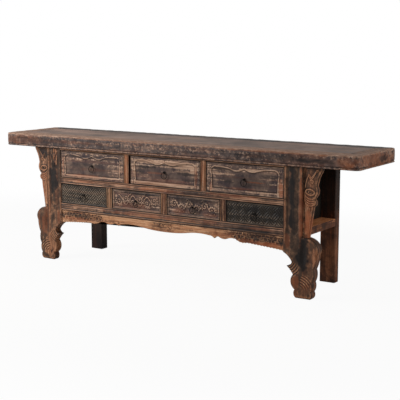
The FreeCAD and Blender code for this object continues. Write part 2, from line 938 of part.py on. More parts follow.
def makeApron():
    apron = newBody("apron")
    front = caseFront + size.apronSetback
    half = pad(apron, "XZ_Plane", front, front + size.apronThick, (
        (0, bottomRailLow),
        ((0, bottomRailLow + size.apronDrop * apronMiddleShare),),
        *shareRuns(apronShares, 0, caseHalf, bottomRailLow, size.apronDrop),
        ((caseHalf, bottomRailLow),),
    ))
    mirrorFeature(apron, half)
    block(apron, "Tongue", *apronTongue())
    for side in (1, -1):
        block(apron, "Tenon", *apronTenon(side))
    keep(apron)


# Ends and back of the case

def makeEnds():
    panel = newBody("side_panel_right")
    pad(panel, "YZ_Plane", sidePanelInner, rearLegInner,
        rectangle((frontLegBack - size.sidePanelGroove, bottomRailLow), (rearRailFront, slabLow)))
    keep(panel)
    keep(mirroredPiece(panel, "side_panel_left"))

    shelf = newBody("SideShelf")
    shelfLow = bottomRailHigh - size.sideShelfHeight
    pad(shelf, "XZ_Plane", frontLegBack, rearLegFront,
        rectangle((rearLegInner, shelfLow), (postOuter, bottomRailHigh)))
    block(shelf, "FrontTenon", *shelfTenon(frontLegBack - size.sideTenonLength, frontLegBack))
    block(shelf, "RearTenon", *shelfTenon(rearLegFront, rearLegFront + size.sideTenonLength))
    rail = newBody("SideTopRail")
    railHigh = (rearLegInner + size.sideTopRailWidth, slabLow)
    pad(rail, "XZ_Plane", frontLegBack, rearLegFront,
        rectangle((rearLegInner, slabLow - size.sideTopRailHeight), railHigh))
    block(rail, "FrontTenon", *sideTopTenon(frontLegBack - size.sideTenonLength, frontLegBack))
    block(rail, "RearTenon", *sideTopTenon(rearLegFront, rearLegFront + size.sideTenonLength))
    rails = keep(group("side_rails_right", [shelf, rail]))
    keep(mirroredPiece(rails, "side_rails_left"))


def makeBack():
    rails = []
    groove = size.backPanelGroove
    panelRuns = ((bottomRailHigh, middleRailLow), (middleRailHigh, rearRails[0][0]))
    for low, high in rearRails:
        body = newBody("RearRail")
        pad(body, "YZ_Plane", -rearLegInner, rearLegInner, rectangle((rearRailFront, low), (caseRear, high)))
        for side in (1, -1):
            block(body, "Tenon", *rearTenon(side, low, high))
        rails.append(body)
    for rail, opening in ((rails[0], (rearRails[0][0], rearRails[0][0] + groove)),
                          (rails[1], (middleRailHigh - groove, middleRailHigh)),
                          (rails[1], (middleRailLow, middleRailLow + groove)),
                          (rails[2], (bottomRailHigh - groove, bottomRailHigh))):
        cutBlock(rail, "PanelGroove", (-rearLegInner, backPanelFront, opening[0]),
                 (rearLegInner, backPanelBack, opening[1]))
    tenonEnd = rearRailFront + size.runnerTenonLength
    rows = (rails[1], middleRailHigh, upperDividers), (rails[2], bottomRailHigh, lowerDividers)
    for rail, seat, places in rows:
        for place in places + (-endRunnerPlace, endRunnerPlace):
            cutBlock(rail, "RunnerMortise", *runnerTenon(place, seat, rearRailFront, tenonEnd))
    keep(group("rear_rails", rails))

    panels = []
    for low, high in panelRuns:
        body = newBody("BackPanel")
        pad(body, "XZ_Plane", backPanelFront, backPanelBack,
            rectangle((-rearLegInner, low - groove), (rearLegInner, high + groove)))
        panels.append(body)
    keep(group("back_panels", panels))


def runner(place, guideLeft, guideRight, baseLeft, baseRight, seat):
    # A ledge that carries the drawers' sides, with a guide that stands between them
    body = newBody("Runner")
    front = caseFront + size.railDepth
    low = seat - size.runnerThick
    outline = [(baseLeft, low), ((baseRight, low),), ((baseRight, seat),)]
    if numberOf(guideRight) < numberOf(baseRight):
        outline += [((guideRight, seat),)]
    outline += [((guideRight, seat + size.runnerGuideHeight),), ((guideLeft, seat + size.runnerGuideHeight),)]
    if numberOf(guideLeft) > numberOf(baseLeft):
        outline += [((guideLeft, seat),), ((baseLeft, seat),)]
    pad(body, "XZ_Plane", front, rearRailFront, outline)
    block(body, "FrontTenon", *runnerTenon(place, seat, front - size.runnerTenonLength, front))
    block(body, "RearTenon", *runnerTenon(place, seat, rearRailFront, rearRailFront + size.runnerTenonLength))
    return body


def makeRunners():
    runners = []
    for places, width, seat in ((upperDividers, size.upperDividerWidth, middleRailHigh),
                                (lowerDividers, size.lowerDividerWidth, bottomRailHigh)):
        for place in places:
            left = place - width / 2
            right = place + width / 2
            ledges = left - size.runnerLedge, right + size.runnerLedge
            runners.append(runner(place, left, right, *ledges, seat))
        end = runner(endRunnerPlace, caseHalf, sidePanelInner, caseHalf - size.runnerLedge,
                     sidePanelInner, seat)
        cutBlock(end, "LegNotch",
                 (caseHalf, caseFront + size.railDepth, seat - size.runnerThick),
                 (sidePanelInner, frontLegBack, seat + size.runnerGuideHeight))
        runners += [end, mirroredPiece(end, "RunnerLeft")]
    keep(group("drawer_runners", runners))


# Drawers: each is drawn about the middle of its front face at the height of its seat, then placed

# Half of the arched field of an upper front, from the middle: shares of the half width and of the height
archFieldShares = [
    (0.84, 0.13),
    (0.855, 0.62),
    (0.845, 0.8, 0.74, 0.85),
    (0.5, 0.835, 0.27, 0.745),
    (0.11, 0.765, 0.0, 0.835),
]
archFieldStartShare = 0.13


def tailOutline(kind, number):
    # One dovetail, seen from the side: its root is level with the back of the front board
    pitch = kind.wallHeight / kind.tailCount
    middle = pitch * (number + 0.5)
    root = pitch / 4
    tip = root + size.tailFlare
    rootPlace = size.frontThick
    tipPlace = size.frontThick - size.tailLength
    return (
        (rootPlace, middle - root),
        ((tipPlace, middle - tip),),
        ((tipPlace, middle + tip),),
        ((rootPlace, middle + root),),
    )


def drawerFront(kind):
    body = newBody("DrawerFront")
    half = kind.width / 2
    low = size.frontBottomGap
    high = low + kind.height
    pad(body, "XZ_Plane", 0, size.frontThick, rectangle((-half, low), (half, high)))
    chamferEdges(body, size.frontEdgeChamfer, lambda box: flat(0, box.YMin, box.YMax))
    if kind.arched:
        field = pocket(body, "XZ_Plane", 0, kind.fieldDepth, (
            (0, low + kind.height * archFieldStartShare),
            *shareRuns(archFieldShares, 0, half, low, kind.height),
        ))
        mirrorFeature(body, field)
    else:
        pocket(body, "XZ_Plane", 0, kind.fieldDepth,
               rectangle((kind.border - half, low + kind.border), (half - kind.border, high - kind.border)))
    sockets = pocket(body, "YZ_Plane", half - size.wallThick, half + size.overrun,
                     *[tailOutline(kind, number) for number in range(kind.tailCount)])
    mirrorFeature(body, sockets)
    cutBlock(body, "BottomGroove",
             (size.wallThick - size.bottomGroove - half, size.frontThick - size.bottomGroove, size.bottomLift),
             (half - size.wallThick + size.bottomGroove, size.frontThick, size.bottomLift + size.bottomThick))
    hole = size.shankHalf + size.shankGap
    middle = low + kind.height / 2
    cutBlock(body, "ShankHole", (-hole, 0, middle - hole), (hole, size.frontThick, middle + hole))
    return body


def drawerSide(kind):
    body = newBody("DrawerSide")
    half = kind.width / 2
    runs = [((kind.rear, 0),), ((kind.rear, kind.wallHeight),), ((size.frontThick, kind.wallHeight),)]
    for number in reversed(range(kind.tailCount)):
        tail = tailOutline(kind, number)
        runs += [tail[3], tail[2], tail[1], (tail[0],)]
    pad(body, "YZ_Plane", half - size.wallThick, half, ((size.frontThick, 0), *runs))
    cutBlock(body, "BottomGroove",
             (half - size.wallThick, size.frontThick - size.bottomGroove, size.bottomLift),
             (half - size.wallThick + size.bottomGroove, kind.rear, size.bottomLift + size.bottomThick))
    return body


def plainBox(name, low, high):
    box = doc.addObject("Part::Box", name)
    box.Label = name
    return placeBlock(box, low, high)


def makeDrawerKind(kind):
    # Drawers of one kind are alike, so their boards are drawn once, and each drawer is a set of placed copies
    half = kind.width / 2
    bottomHigh = size.bottomLift + size.bottomThick
    kind.rear = backPanelFront - size.closingGap - caseFront - size.frontInset
    side = drawerSide(kind)
    back = plainBox("DrawerBack", (size.wallThick - half, kind.rear - size.wallThick, bottomHigh),
                    (half - size.wallThick, kind.rear, kind.wallHeight))
    kind.walls = [side, mirroredPiece(side, "DrawerSideLeft"), back]
    grooveEnd = half - size.wallThick + size.bottomGroove
    kind.bottom = plainBox("BottomBoard", (-grooveEnd, size.frontThick - size.bottomGroove, size.bottomLift),
                           (grooveEnd, kind.rear, bottomHigh))
    kind.front = drawerFront(kind)
    kind.pull = pullFitting(kind)
    return kind


def placeDrawer(name, kind, ringWire, x, seat):
    frontY = caseFront + size.frontInset
    boards = (("front", [kind.front]), ("walls", kind.walls), ("bottom", [kind.bottom]))
    for role, items in boards:
        keep(placeAt(group(f"{name}_{role}", items), x, frontY, seat))
    pivotY = frontY + kind.fieldDepth - size.eyeStand
    pivotHeight = seat + size.frontBottomGap + kind.height / 2
    keep(placeAt(group(f"{name}_pull", kind.pull), x, pivotY, pivotHeight))
    keep(placeAt(group(f"{name}_ring", [ringWire]), x, pivotY, pivotHeight - size.ringRadius))


# Ring pull: drawn about the pivot, where the ring's wire passes through the eye

ringSideCount = 14
eyeSideCount = 8
wireChamferShare = 2 - math.sqrt(2)


def pullFitting(kind):
    # A split pin: its head is the eye, and its two legs are clinched flat against the inside of the front
    plate = size.eyeStand
    inside = size.eyeStand + size.frontThick - kind.fieldDepth
    eyeHole = size.ringWire + size.ringPlay
    splitPin = newBody("SplitPin")
    pad(splitPin, "YZ_Plane", -size.eyeWidth / 2, size.eyeWidth / 2,
        evenPolygon((0, 0), size.eyeRadius, eyeSideCount))
    block(splitPin, "Shank", (-size.shankHalf, (eyeHole + size.eyeRadius) / 2, -size.shankHalf),
          (size.shankHalf, inside, size.shankHalf))
    block(splitPin, "Clinch", (-size.clinchLength / 2, inside, -size.clinchWidth / 2),
          (size.clinchLength / 2, inside + size.clinchThick, size.clinchWidth / 2))
    pocket(splitPin, "YZ_Plane", -size.eyeWidth / 2, size.eyeWidth / 2, circles=[((0, 0), eyeHole)])

    rosette = newBody("Rosette")
    front = plate - size.rosetteThick
    pad(rosette, "XZ_Plane", front, plate, evenPolygon((0, 0), size.rosetteRadius, eyeSideCount))
    face = numberOf(front)
    chamferEdges(rosette, size.rosetteChamfer, lambda box: flat(face, box.YMin, box.YMax))
    bore = size.shankHalf + size.shankGap
    cutBlock(rosette, "Bore", (-bore, front, -bore), (bore, plate, bore))
    return [splitPin, rosette]


def pullRing():
    # An eight-sided wire bent to a ring; its top run is straight where it passes through the eye
    wire = size.ringWire
    ring = newBody("RingWire")
    pad(ring, "XZ_Plane", -wire, wire,
        evenPolygon((0, 0), size.ringRadius + wire, ringSideCount),
        evenPolygon((0, 0), size.ringRadius - wire, ringSideCount))
    chamferEdges(ring, wire * wireChamferShare, lambda box: box.YLength < numberOf(wire))
    return ring


def makeDrawers():
    upperWidth = upperOuterOpening - size.frontSideGap * 2
    lowerWidth = lowerOpeningWidth - size.frontSideGap * 2
    upperHeight = size.upperOpening - size.frontTopGap - size.frontBottomGap
    lowerHeight = size.lowerOpening - size.frontTopGap - size.frontBottomGap
    upper = makeDrawerKind(SimpleNamespace(
        width=upperWidth, height=upperHeight, wallHeight=size.upperWallHeight, tailCount=3,
        fieldDepth=size.upperFieldDepth, arched=True, border=None))
    mat = makeDrawerKind(SimpleNamespace(
        width=lowerWidth, height=lowerHeight, wallHeight=size.lowerWallHeight, tailCount=2,
        fieldDepth=size.matFieldDepth, arched=False, border=size.matBorder))
    leaf = makeDrawerKind(SimpleNamespace(
        width=lowerWidth, height=lowerHeight, wallHeight=size.lowerWallHeight, tailCount=2,
        fieldDepth=size.leafFieldDepth, arched=False, border=size.leafBorder))
    ringWire = pullRing()
    outerCentre = caseHalf - lowerOuterOpening / 2
    innerCentre = lowerDividerPlace / 2
    for name, kind, x, seat in (
        ("upper_drawer_left", upper, -upperOuterCentre, middleRailHigh),
        ("upper_drawer_middle", upper, size.middleDrawerShift, middleRailHigh),
        ("upper_drawer_right", upper, upperOuterCentre, middleRailHigh),
        ("lower_drawer_far_left", mat, -outerCentre, bottomRailHigh),
        ("lower_drawer_near_left", leaf, -innerCentre, bottomRailHigh),
        ("lower_drawer_near_right", leaf, innerCentre, bottomRailHigh),
        ("lower_drawer_far_right", mat, outerCentre, bottomRailHigh),
    ):
        placeDrawer(name, kind, ringWire, x, seat)


makeTop()
makeFrontLegs()
makeRearLegs()
makeSpandrels()
makeFrontRails()
makeDividers()
makeApron()
makeEnds()
makeBack()
makeRunners()
makeDrawers()
doc.recompute()


def checkModel():
    problems = []
    for item in doc.Objects:
        if "Invalid" in item.State or "Error" in item.State:
            problems.append(f"{item.Label} did not build")
        base = getattr(item, "BaseFeature", None)
        cuts = item.TypeId in ("PartDesign::Pocket", "PartDesign::SubtractiveBox")
        if cuts and base and item.Shape.Volume >= base.Shape.Volume:
            problems.append(f"{item.Label} in {item.getParentGeoFeatureGroup().Label} cuts nothing")
    for item in pieces:
        if item.Shape.isNull() or not item.Shape.isValid():
            problems.append(f"{item.Label} has no sound shape")
    if problems:
        raise RuntimeError("; ".join(problems))


checkModel()
os.makedirs("parts", exist_ok=True)
for item in pieces:
    item.Shape.exportStep(f"parts/{item.Label}.step")
print(len(pieces), "pieces written")
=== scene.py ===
import math

import bmesh
import bpy
import numpy as np
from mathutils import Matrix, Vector


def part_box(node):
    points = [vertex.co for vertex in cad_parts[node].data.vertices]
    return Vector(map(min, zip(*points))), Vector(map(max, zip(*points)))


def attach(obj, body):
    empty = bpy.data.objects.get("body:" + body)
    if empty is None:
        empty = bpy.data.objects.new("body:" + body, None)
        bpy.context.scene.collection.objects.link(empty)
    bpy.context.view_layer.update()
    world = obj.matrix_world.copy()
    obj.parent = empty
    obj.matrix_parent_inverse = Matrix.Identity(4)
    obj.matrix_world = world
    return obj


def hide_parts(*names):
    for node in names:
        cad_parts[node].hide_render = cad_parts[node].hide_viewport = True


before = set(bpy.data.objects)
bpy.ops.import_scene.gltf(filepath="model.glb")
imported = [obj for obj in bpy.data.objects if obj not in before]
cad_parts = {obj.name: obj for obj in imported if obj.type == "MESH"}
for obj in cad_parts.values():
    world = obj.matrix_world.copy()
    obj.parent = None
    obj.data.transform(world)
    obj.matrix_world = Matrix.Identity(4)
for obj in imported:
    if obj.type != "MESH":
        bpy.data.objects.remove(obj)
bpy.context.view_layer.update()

# Antique altar coffer in worn, once lacquered elm. Lengths here are millimetres; meshes are made in metres.
mm = 0.001
sharpAngle = math.radians(40)
sides = ((1, "right"), (-1, "left"))
print("frame loaded:", len(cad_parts), "nodes")


# Numbers and curves

def boxOf(node):
    low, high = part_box(node)
    return np.array(low) / mm, np.array(high) / mm


def smooth(share):
    share = np.clip(share, 0, 1)
    return share * share * (3 - 2 * share)


def ridge(away, half):
    # Section of a half-round moulding: 1 on its crest, 0 from its half width outward
    return np.clip(1 - (away / half) ** 2, 0, 1) ** 0.7


waves = {"count": 7, "stretch": (0.6, 1.7), "level": 3.4}


def waviness(x, z, wavelength, seed):
    # Smooth unevenness between about -1 and 1: plane waves with directions and phases drawn from the seed
    draw = np.random.default_rng(seed)
    turns = draw.uniform(0, math.tau, waves["count"])
    phases = draw.uniform(0, math.tau, waves["count"])
    stretches = draw.uniform(*waves["stretch"], waves["count"])
    total = np.zeros(np.shape(x))
    for turn, phase, stretch in zip(turns, phases, stretches):
        along = np.asarray(x) * math.cos(turn) + np.asarray(z) * math.sin(turn)
        total = total + np.sin(along * math.tau / (wavelength * stretch) + phase)
    return total / waves["level"]


def blur(values, cells):
    # Two passes of a box average along both ways of a grid
    for _ in range(2):
        for axis in (0, 1):
            reach = max(1, int(cells[axis]))
            padding = [(0, 0), (0, 0)]
            padding[axis] = (reach + 1, reach)
            sums = np.cumsum(np.pad(values, padding, mode="edge"), axis=axis)
            ahead = np.take(sums, range(2 * reach + 1, sums.shape[axis]), axis=axis)
            behind = np.take(sums, range(0, sums.shape[axis] - 2 * reach - 1), axis=axis)
            values = (ahead - behind) / (2 * reach + 1)
    return values


def edgesOf(loop):
    return list(zip(loop, np.roll(loop, -1, axis=0)))


def insideLoop(x, z, loop):
    inside = np.zeros(np.shape(x), bool)
    for (ax, az), (bx, bz) in edgesOf(loop):
        if az == bz:
            continue
        crosses = (z > min(az, bz)) & (z <= max(az, bz))
        inside ^= crosses & (x < ax + (z - az) * (bx - ax) / (bz - az))
    return inside


def nearestOn(x, z, edges):
    # Distance from points to the nearest of some edges, and the place there
    best = np.full(np.shape(x), 1e9)
    atX = np.array(x, float)
    atZ = np.array(z, float)
    for (ax, az), (bx, bz) in edges:
        runX = bx - ax
        runZ = bz - az
        share = np.clip(((x - ax) * runX + (z - az) * runZ) / max(runX ** 2 + runZ ** 2, 1e-9), 0, 1)
        onX = ax + share * runX
        onZ = az + share * runZ
        away = np.hypot(x - onX, z - onZ)
        closer = away < best
        best = np.where(closer, away, best)
        atX = np.where(closer, onX, atX)
        atZ = np.where(closer, onZ, atZ)
    return best, atX, atZ


def forwardRim(node, nearDepth, farDepth):
    # Outline of a node's faces that look forward between two depths behind its front plane
    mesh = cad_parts[node].data
    places = np.array([vertex.co for vertex in mesh.vertices]) / mm
    front = places[:, 1].min()
    rim = set()
    for face in mesh.polygons:
        corners = places[list(face.vertices)]
        depths = corners[:, 1] - front
        if face.normal.y > -0.99 or depths.max() > farDepth or depths.min() < nearDepth:
            continue
        spots = [(round(x, 2), round(z, 2)) for x, _, z in corners]
        for start, end in zip(spots, spots[1:] + spots[:1]):
            if (end, start) in rim:
                rim.discard((end, start))
            elif start != end:
                rim.add((start, end))
    following = dict(rim)
    loops = []
    while following:
        start, spot = following.popitem()
        loop = [start]
        while spot != start and spot in following:
            loop.append(spot)
            spot = following.pop(spot)
        loops.append(np.array(loop))
    return max(loops, key=lambda loop: np.ptp(loop, axis=0).sum())


def turnAt(before, point, after):
    first = point - before
    second = after - point
    cross = first[0] * second[1] - first[1] * second[0]
    return abs(math.degrees(math.atan2(cross, first @ second)))


def smoothLoop(loop, gentle=24, step=4):
    # The frame's arcs come as short chords, so chords between gentle turns are bent into a curve
    count = len(loop)
    turns = [turnAt(loop[at - 1], loop[at], loop[(at + 1) % count]) for at in range(count)]
    points = []
    for at in range(count):
        ahead = (at + 1) % count
        start = loop[at]
        end = loop[ahead]
        run = end - start
        length = np.hypot(*run)
        tangents = []
        for spot, before, after in ((at, at - 1, ahead), (ahead, at, (at + 2) % count)):
            if turns[spot] > gentle:
                tangents.append(run)
                continue
            first = loop[spot] - loop[before]
            second = loop[after] - loop[spot]
            tangent = first / np.hypot(*first) + second / np.hypot(*second)
            tangents.append(tangent / np.hypot(*tangent) * length)
        for share in np.linspace(0, 1, max(1, round(length / step)), endpoint=False):
            square = share ** 2
            cube = share ** 3
            points.append((2 * cube - 3 * square + 1) * start + (cube - 2 * square + share) * tangents[0]
                          + (3 * square - 2 * cube) * end + (cube - square) * tangents[1])
    return np.array(points)


def rectangle(low, high):
    return np.array([(low[0], low[1]), (high[0], low[1]), (high[0], high[1]), (low[0], high[1])], float)


# Carved strokes: each is a path and the half width at each of its points

def swept(points, halves, count=14):
    # A stroke along a Bezier curve
    share = np.linspace(0, 1, count)[:, None]
    rest = 1 - share
    a, b, c, d = (np.array(point, float) for point in points)
    path = rest ** 3 * a + 3 * rest ** 2 * share * b + 3 * rest * share ** 2 * c + share ** 3 * d
    return path, np.linspace(*halves, count)


def curl(middle, radius, start, hand, turns, halves, count=30):
    # A spiral that closes in to 0.14 of its radius
    share = np.linspace(0, 1, count)
    angle = math.radians(start) + hand * math.tau * turns * share
    reach = radius * (1 - 0.86 * share)
    path = np.stack([middle[0] + reach * np.cos(angle), middle[1] + reach * np.sin(angle)], axis=1)
    return path, np.linspace(*halves, count)


def ellipse(middle, halfX, halfZ, half, tilt=0.0, count=33):
    angle = np.linspace(0, math.tau, count)
    x = halfX * np.cos(angle)
    z = halfZ * np.sin(angle)
    turn = math.radians(tilt)
    path = np.stack([middle[0] + x * math.cos(turn) - z * math.sin(turn),
                     middle[1] + x * math.sin(turn) + z * math.cos(turn)], axis=1)
    return path, np.full(count, half)


def leaf(root, heading, length, half, bend=0.0, count=9):
    # A leaf swells from its root and runs out to a point, turning by the bend on its way
    share = np.linspace(0, 1, count)
    angle = math.radians(heading) + math.radians(bend) * share
    steps = np.stack([np.cos(angle), np.sin(angle)], axis=1) * length / count
    path = np.array(root, float) + np.cumsum(steps, axis=0) - steps[0]
    return path, half * np.sin(math.pi * (0.08 + 0.9 * share)) ** 0.8


foliage = {"turns": 1.35, "taper": 0.6, "spread": 235, "rootShare": 0.94, "lean": 38, "bend": 55,
           "leafWidth": 1.05}


def scroll(middle, radius, start, hand, leafCount, thick, leafLength=0.95):
    # A scroll of foliage: a tapering spiral with leaves that stand off its outer turn
    middle = np.array(middle, float)
    strokes = [curl(middle, radius, start, hand, foliage["turns"], (thick, thick * foliage["taper"])),
               (np.array([middle, middle + np.array([0.1, 0])]), np.array([thick, thick]) * 0.95)]
    for number in range(leafCount):
        angle = start + hand * foliage["spread"] * (number + 0.3) / leafCount
        outward = np.array([math.cos(math.radians(angle)), math.sin(math.radians(angle))])
        root = middle + radius * foliage["rootShare"] * outward
        length = radius * leafLength * (0.75 + 0.25 * math.sin(number * 2.1 + start))
        strokes.append(leaf(root, angle + hand * foliage["lean"], length, thick * foliage["leafWidth"],
                            hand * foliage["bend"]))
    return strokes


def strokeHeight(x, z, strokes, full=4.0):
    # Height of the highest stroke over each point, 0 to 1; strokes thinner than full stand lower
    height = np.zeros(np.shape(x))
    for path, halves in strokes:
        for start, end, startHalf, endHalf in zip(path[:-1], path[1:], halves[:-1], halves[1:]):
            reach = max(startHalf, endHalf)
            low = np.minimum(start, end) - reach
            high = np.maximum(start, end) + reach
            near = (x > low[0]) & (x < high[0]) & (z > low[1]) & (z < high[1])
            if not near.any():
                continue
            run = end - start
            offX = x[near] - start[0]
            offZ = z[near] - start[1]
            share = np.clip((offX * run[0] + offZ * run[1]) / max(run @ run, 1e-9), 0, 1)
            away = np.hypot(offX - share * run[0], offZ - share * run[1])
            half = startHalf + (endHalf - startHalf) * share
            rise = ridge(away, np.maximum(half, 0.3)) * np.minimum(1, 0.35 + 0.65 * half / full)
            height[near] = np.maximum(height[near], rise)
    return height


rims = {"waves": ((0.2, 70), (0.13, 26)), "softness": 1.5, "reach": 1.15}


def patches(x, z, spots, seed):
    # Soft-edged patches with ragged rims; a spot is (middle x, middle z, half width, half height, strength),
    # and the strongest at a place counts, also where it is negative
    ragged = sum(share * waviness(x, z, length, seed + at) for at, (share, length) in enumerate(rims["waves"]))
    field = np.zeros(np.shape(x))
    for middleX, middleZ, halfX, halfZ, strength in spots:
        away = np.hypot((x - middleX) / halfX, (z - middleZ) / halfZ) + ragged
        spot = strength * smooth(rims["softness"] * (rims["reach"] - away))
        field = np.where(np.abs(spot) > np.abs(field), spot, field)
    return field


def stains(x, z, finish, seed):
    # Soot and painted shade, reddened wood and bare wood over some points, as a piece's finish lists them
    return {field: patches(x, z, spots, seed + at) for at, (field, spots) in enumerate(finish.items())}


def shadedAlongGap(fields, away, reach):
    # Painted shade of the gap along an edge, laid into the soot field
    fields["sootAndShade"] = np.maximum(fields["sootAndShade"], 0.95 * smooth(1.7 - away / reach))
    return fields


# Materials

def linear(hexColour):
    channels = [int(hexColour[at:at + 2], 16) / 255 for at in (1, 3, 5)]
    curved = [value / 12.92 if value <= 0.04045 else ((value + 0.055) / 1.055) ** 2.4 for value in channels]
    return curved + [1.0]


def addNode(tree, kind, inputs=None, stops=None, **settings):
    # Adds one node; an input is a socket to link or a plain value, and stops are a ramp's places and colours
    node = tree.nodes.new(kind)
    for name, value in settings.items():
        setattr(node, name, value)
    if stops:
        ramp = node.color_ramp.elements
        while len(ramp) < len(stops):
            ramp.new(0.5)
        for element, (place, colour) in zip(ramp, stops):
            element.position = place
            element.color = linear(colour)
    for name, value in (inputs or {}).items():
        if isinstance(value, bpy.types.NodeSocket):
            tree.links.new(value, node.inputs[name])
        else:
            node.inputs[name].default_value = value
    return node


def calculate(tree, operation, *values, clamp=False):
    node = addNode(tree, "ShaderNodeMath", dict(enumerate(values)), operation=operation, use_clamp=clamp)
    return node.outputs[0]


def ranged(tree, value, source=(0.0, 1.0), target=(0.0, 1.0), curve="LINEAR"):
    inputs = dict(zip(("Value", "From Min", "From Max", "To Min", "To Max"), (value, *source, *target)))
    return addNode(tree, "ShaderNodeMapRange", inputs, interpolation_type=curve).outputs[0]


def noise(tree, place, scale, detail, roughness=0.5, distortion=0.0):
    names = ("Vector", "Scale", "Detail", "Roughness", "Distortion")
    inputs = dict(zip(names, (place, scale, detail, roughness, distortion)))
    return addNode(tree, "ShaderNodeTexNoise", inputs).outputs["Fac"]


def mapped(tree, place, scale, shift=(0.0, 0.0, 0.0)):
    return addNode(tree, "ShaderNodeMapping", {"Vector": place, "Scale": scale, "Location": shift}).outputs[0]


def ramped(tree, value, places, colours):
    return addNode(tree, "ShaderNodeValToRGB", {"Fac": value}, stops=list(zip(places, colours))).outputs[0]


def blended(tree, share, under, over):
    return addNode(tree, "ShaderNodeMix", {0: share, 6: under, 7: over}, data_type="RGBA").outputs[2]


def bumped(tree, height, strength, depth):
    inputs = {"Height": height, "Strength": strength, "Distance": depth * mm}
    return addNode(tree, "ShaderNodeBump", inputs).outputs[0]


def repeats(size):
    # Pattern scale for forms of this many millimetres
    return 1000 / size


def newMaterial(name):
    material = bpy.data.materials.new(name)
    material.use_nodes = True
    tree = material.node_tree
    tree.nodes.clear()
    return material, tree, addNode(tree, "ShaderNodeTexCoord").outputs["Object"]


def surfaced(material, inputs):
    shader = addNode(material.node_tree, "ShaderNodeBsdfPrincipled", inputs)
    addNode(material.node_tree, "ShaderNodeOutputMaterial", {"Surface": shader.outputs[0]})
    return material


def agedWood(name, look):
    # Elm that was planed or carved, lacquered, and then worn back to the wood where hands and cloths reach
    material, tree, place = newMaterial(name)
    along = repeats(look["grainLength"])
    across = repeats(look["grainWidth"])
    scale = [along if axis == look["grain"] else across for axis in "xyz"]
    streakPlace = mapped(tree, place, [value / look["streakWidth"] for value in scale], look["streakShift"])
    grain = noise(tree, mapped(tree, place, scale), 1.0, 6.0, 0.65, 0.9)
    patch = noise(tree, place, repeats(look["patch"]), 4.0, 0.6, 0.5)
    streak = noise(tree, streakPlace, 1.0, 3.0, 0.55)
    broad = noise(tree, streakPlace, look["broadScale"], 3.0, 0.6)
    fine = noise(tree, place, repeats(look["speck"]), 5.0, 0.7)
    woodColour = ramped(tree, grain, (0.3, 0.5, 0.7), look["wood"])
    lacquerColour = ramped(tree, patch, (0.36, 0.5, 0.64), look["lacquer"])
    fields = {field: addNode(tree, "ShaderNodeAttribute", attribute_name=field).outputs["Fac"]
              for field in ("raised", "arris", "sootAndShade", "warm", "bare")}

    # Wear is the sum of how proud, how near an edge and how rubbed each place is; on edges and crests it
    # comes and goes along the grain
    uneven = calculate(tree, "MULTIPLY", streak, look["streakSwing"])
    arris = calculate(tree, "MULTIPLY", fields["arris"], uneven)
    crest = calculate(tree, "MULTIPLY", fields["raised"], ranged(tree, broad, (0.36, 0.64), (0.15, 1.6)))
    # Faces that look up wear more, and on the shelf rails this lightening also paints the light on their tops
    facing = addNode(tree, "ShaderNodeNewGeometry").outputs["Normal"]
    upward = addNode(tree, "ShaderNodeSeparateXYZ", {0: facing}).outputs["Z"]
    wear = look["worn"]
    for socket, gain, middle in (
            (crest, "raisedGain", 0), (arris, "arrisGain", 0), (fields["bare"], "bareGain", 0),
            (upward, "upwardWearAndLightGain", 0), (patch, "patchGain", 0.5), (streak, "streakGain", 0.5),
            (fine, "speckGain", 0.5)):
        centred = calculate(tree, "SUBTRACT", socket, middle)
        wear = calculate(tree, "MULTIPLY_ADD", centred, look[gain], wear)
    bare = ranged(tree, wear, (0.3, 0.7), curve="SMOOTHSTEP")
    colour = blended(tree, bare, lacquerColour, woodColour)

    # Grime and painted shade in the hollows, reddened wood, and soot patches with the painted shade of gaps go
    # over that
    grimeAndShade = ranged(tree, fields["raised"], (-0.03, -0.6), (0.0, look["grimeAndShadeShare"]))
    colour = blended(tree, grimeAndShade, colour, linear(look["grimeAndShade"]))
    flush = ranged(tree, broad, (0.5, 0.68), (0.0, look["flush"]))
    reddened = calculate(tree, "MAXIMUM", fields["warm"], flush)
    # Painted shade from a set height up: the rear boards under the top are darkened towards the soot colour
    # there
    height = addNode(tree, "ShaderNodeSeparateXYZ", {0: place}).outputs["Z"]
    shadeAbove = ranged(tree, height, (look["shadeFrom"] * mm, (look["shadeFrom"] + look["shadeFade"]) * mm))
    sootAndShadeAmount = calculate(tree, "MAXIMUM", fields["sootAndShade"], shadeAbove)
    for field, amount in (("warm", reddened), ("sootAndShade", sootAndShadeAmount)):
        amount = calculate(tree, "MULTIPLY", amount, uneven, clamp=True)
        amount = calculate(tree, "MULTIPLY", amount, look[f"{field}Share"])
        colour = blended(tree, amount, colour, linear(look[field]))

    rough = ranged(tree, bare, target=(look["lacquerRough"], look["woodRough"]))
    relief = calculate(tree, "MULTIPLY", grain, look["grainRelief"])
    relief = calculate(tree, "MULTIPLY_ADD", fine, look["speckRelief"], relief)
    relief = calculate(tree, "MULTIPLY_ADD", bare, -look["lacquerRelief"], relief)
    normal = bumped(tree, relief, look["bump"], look["bumpDepth"])
    return surfaced(material, {"Base Color": colour, "Roughness": rough, "Normal": normal, "IOR": 1.5,
                               "Specular IOR Level": look["gloss"]})


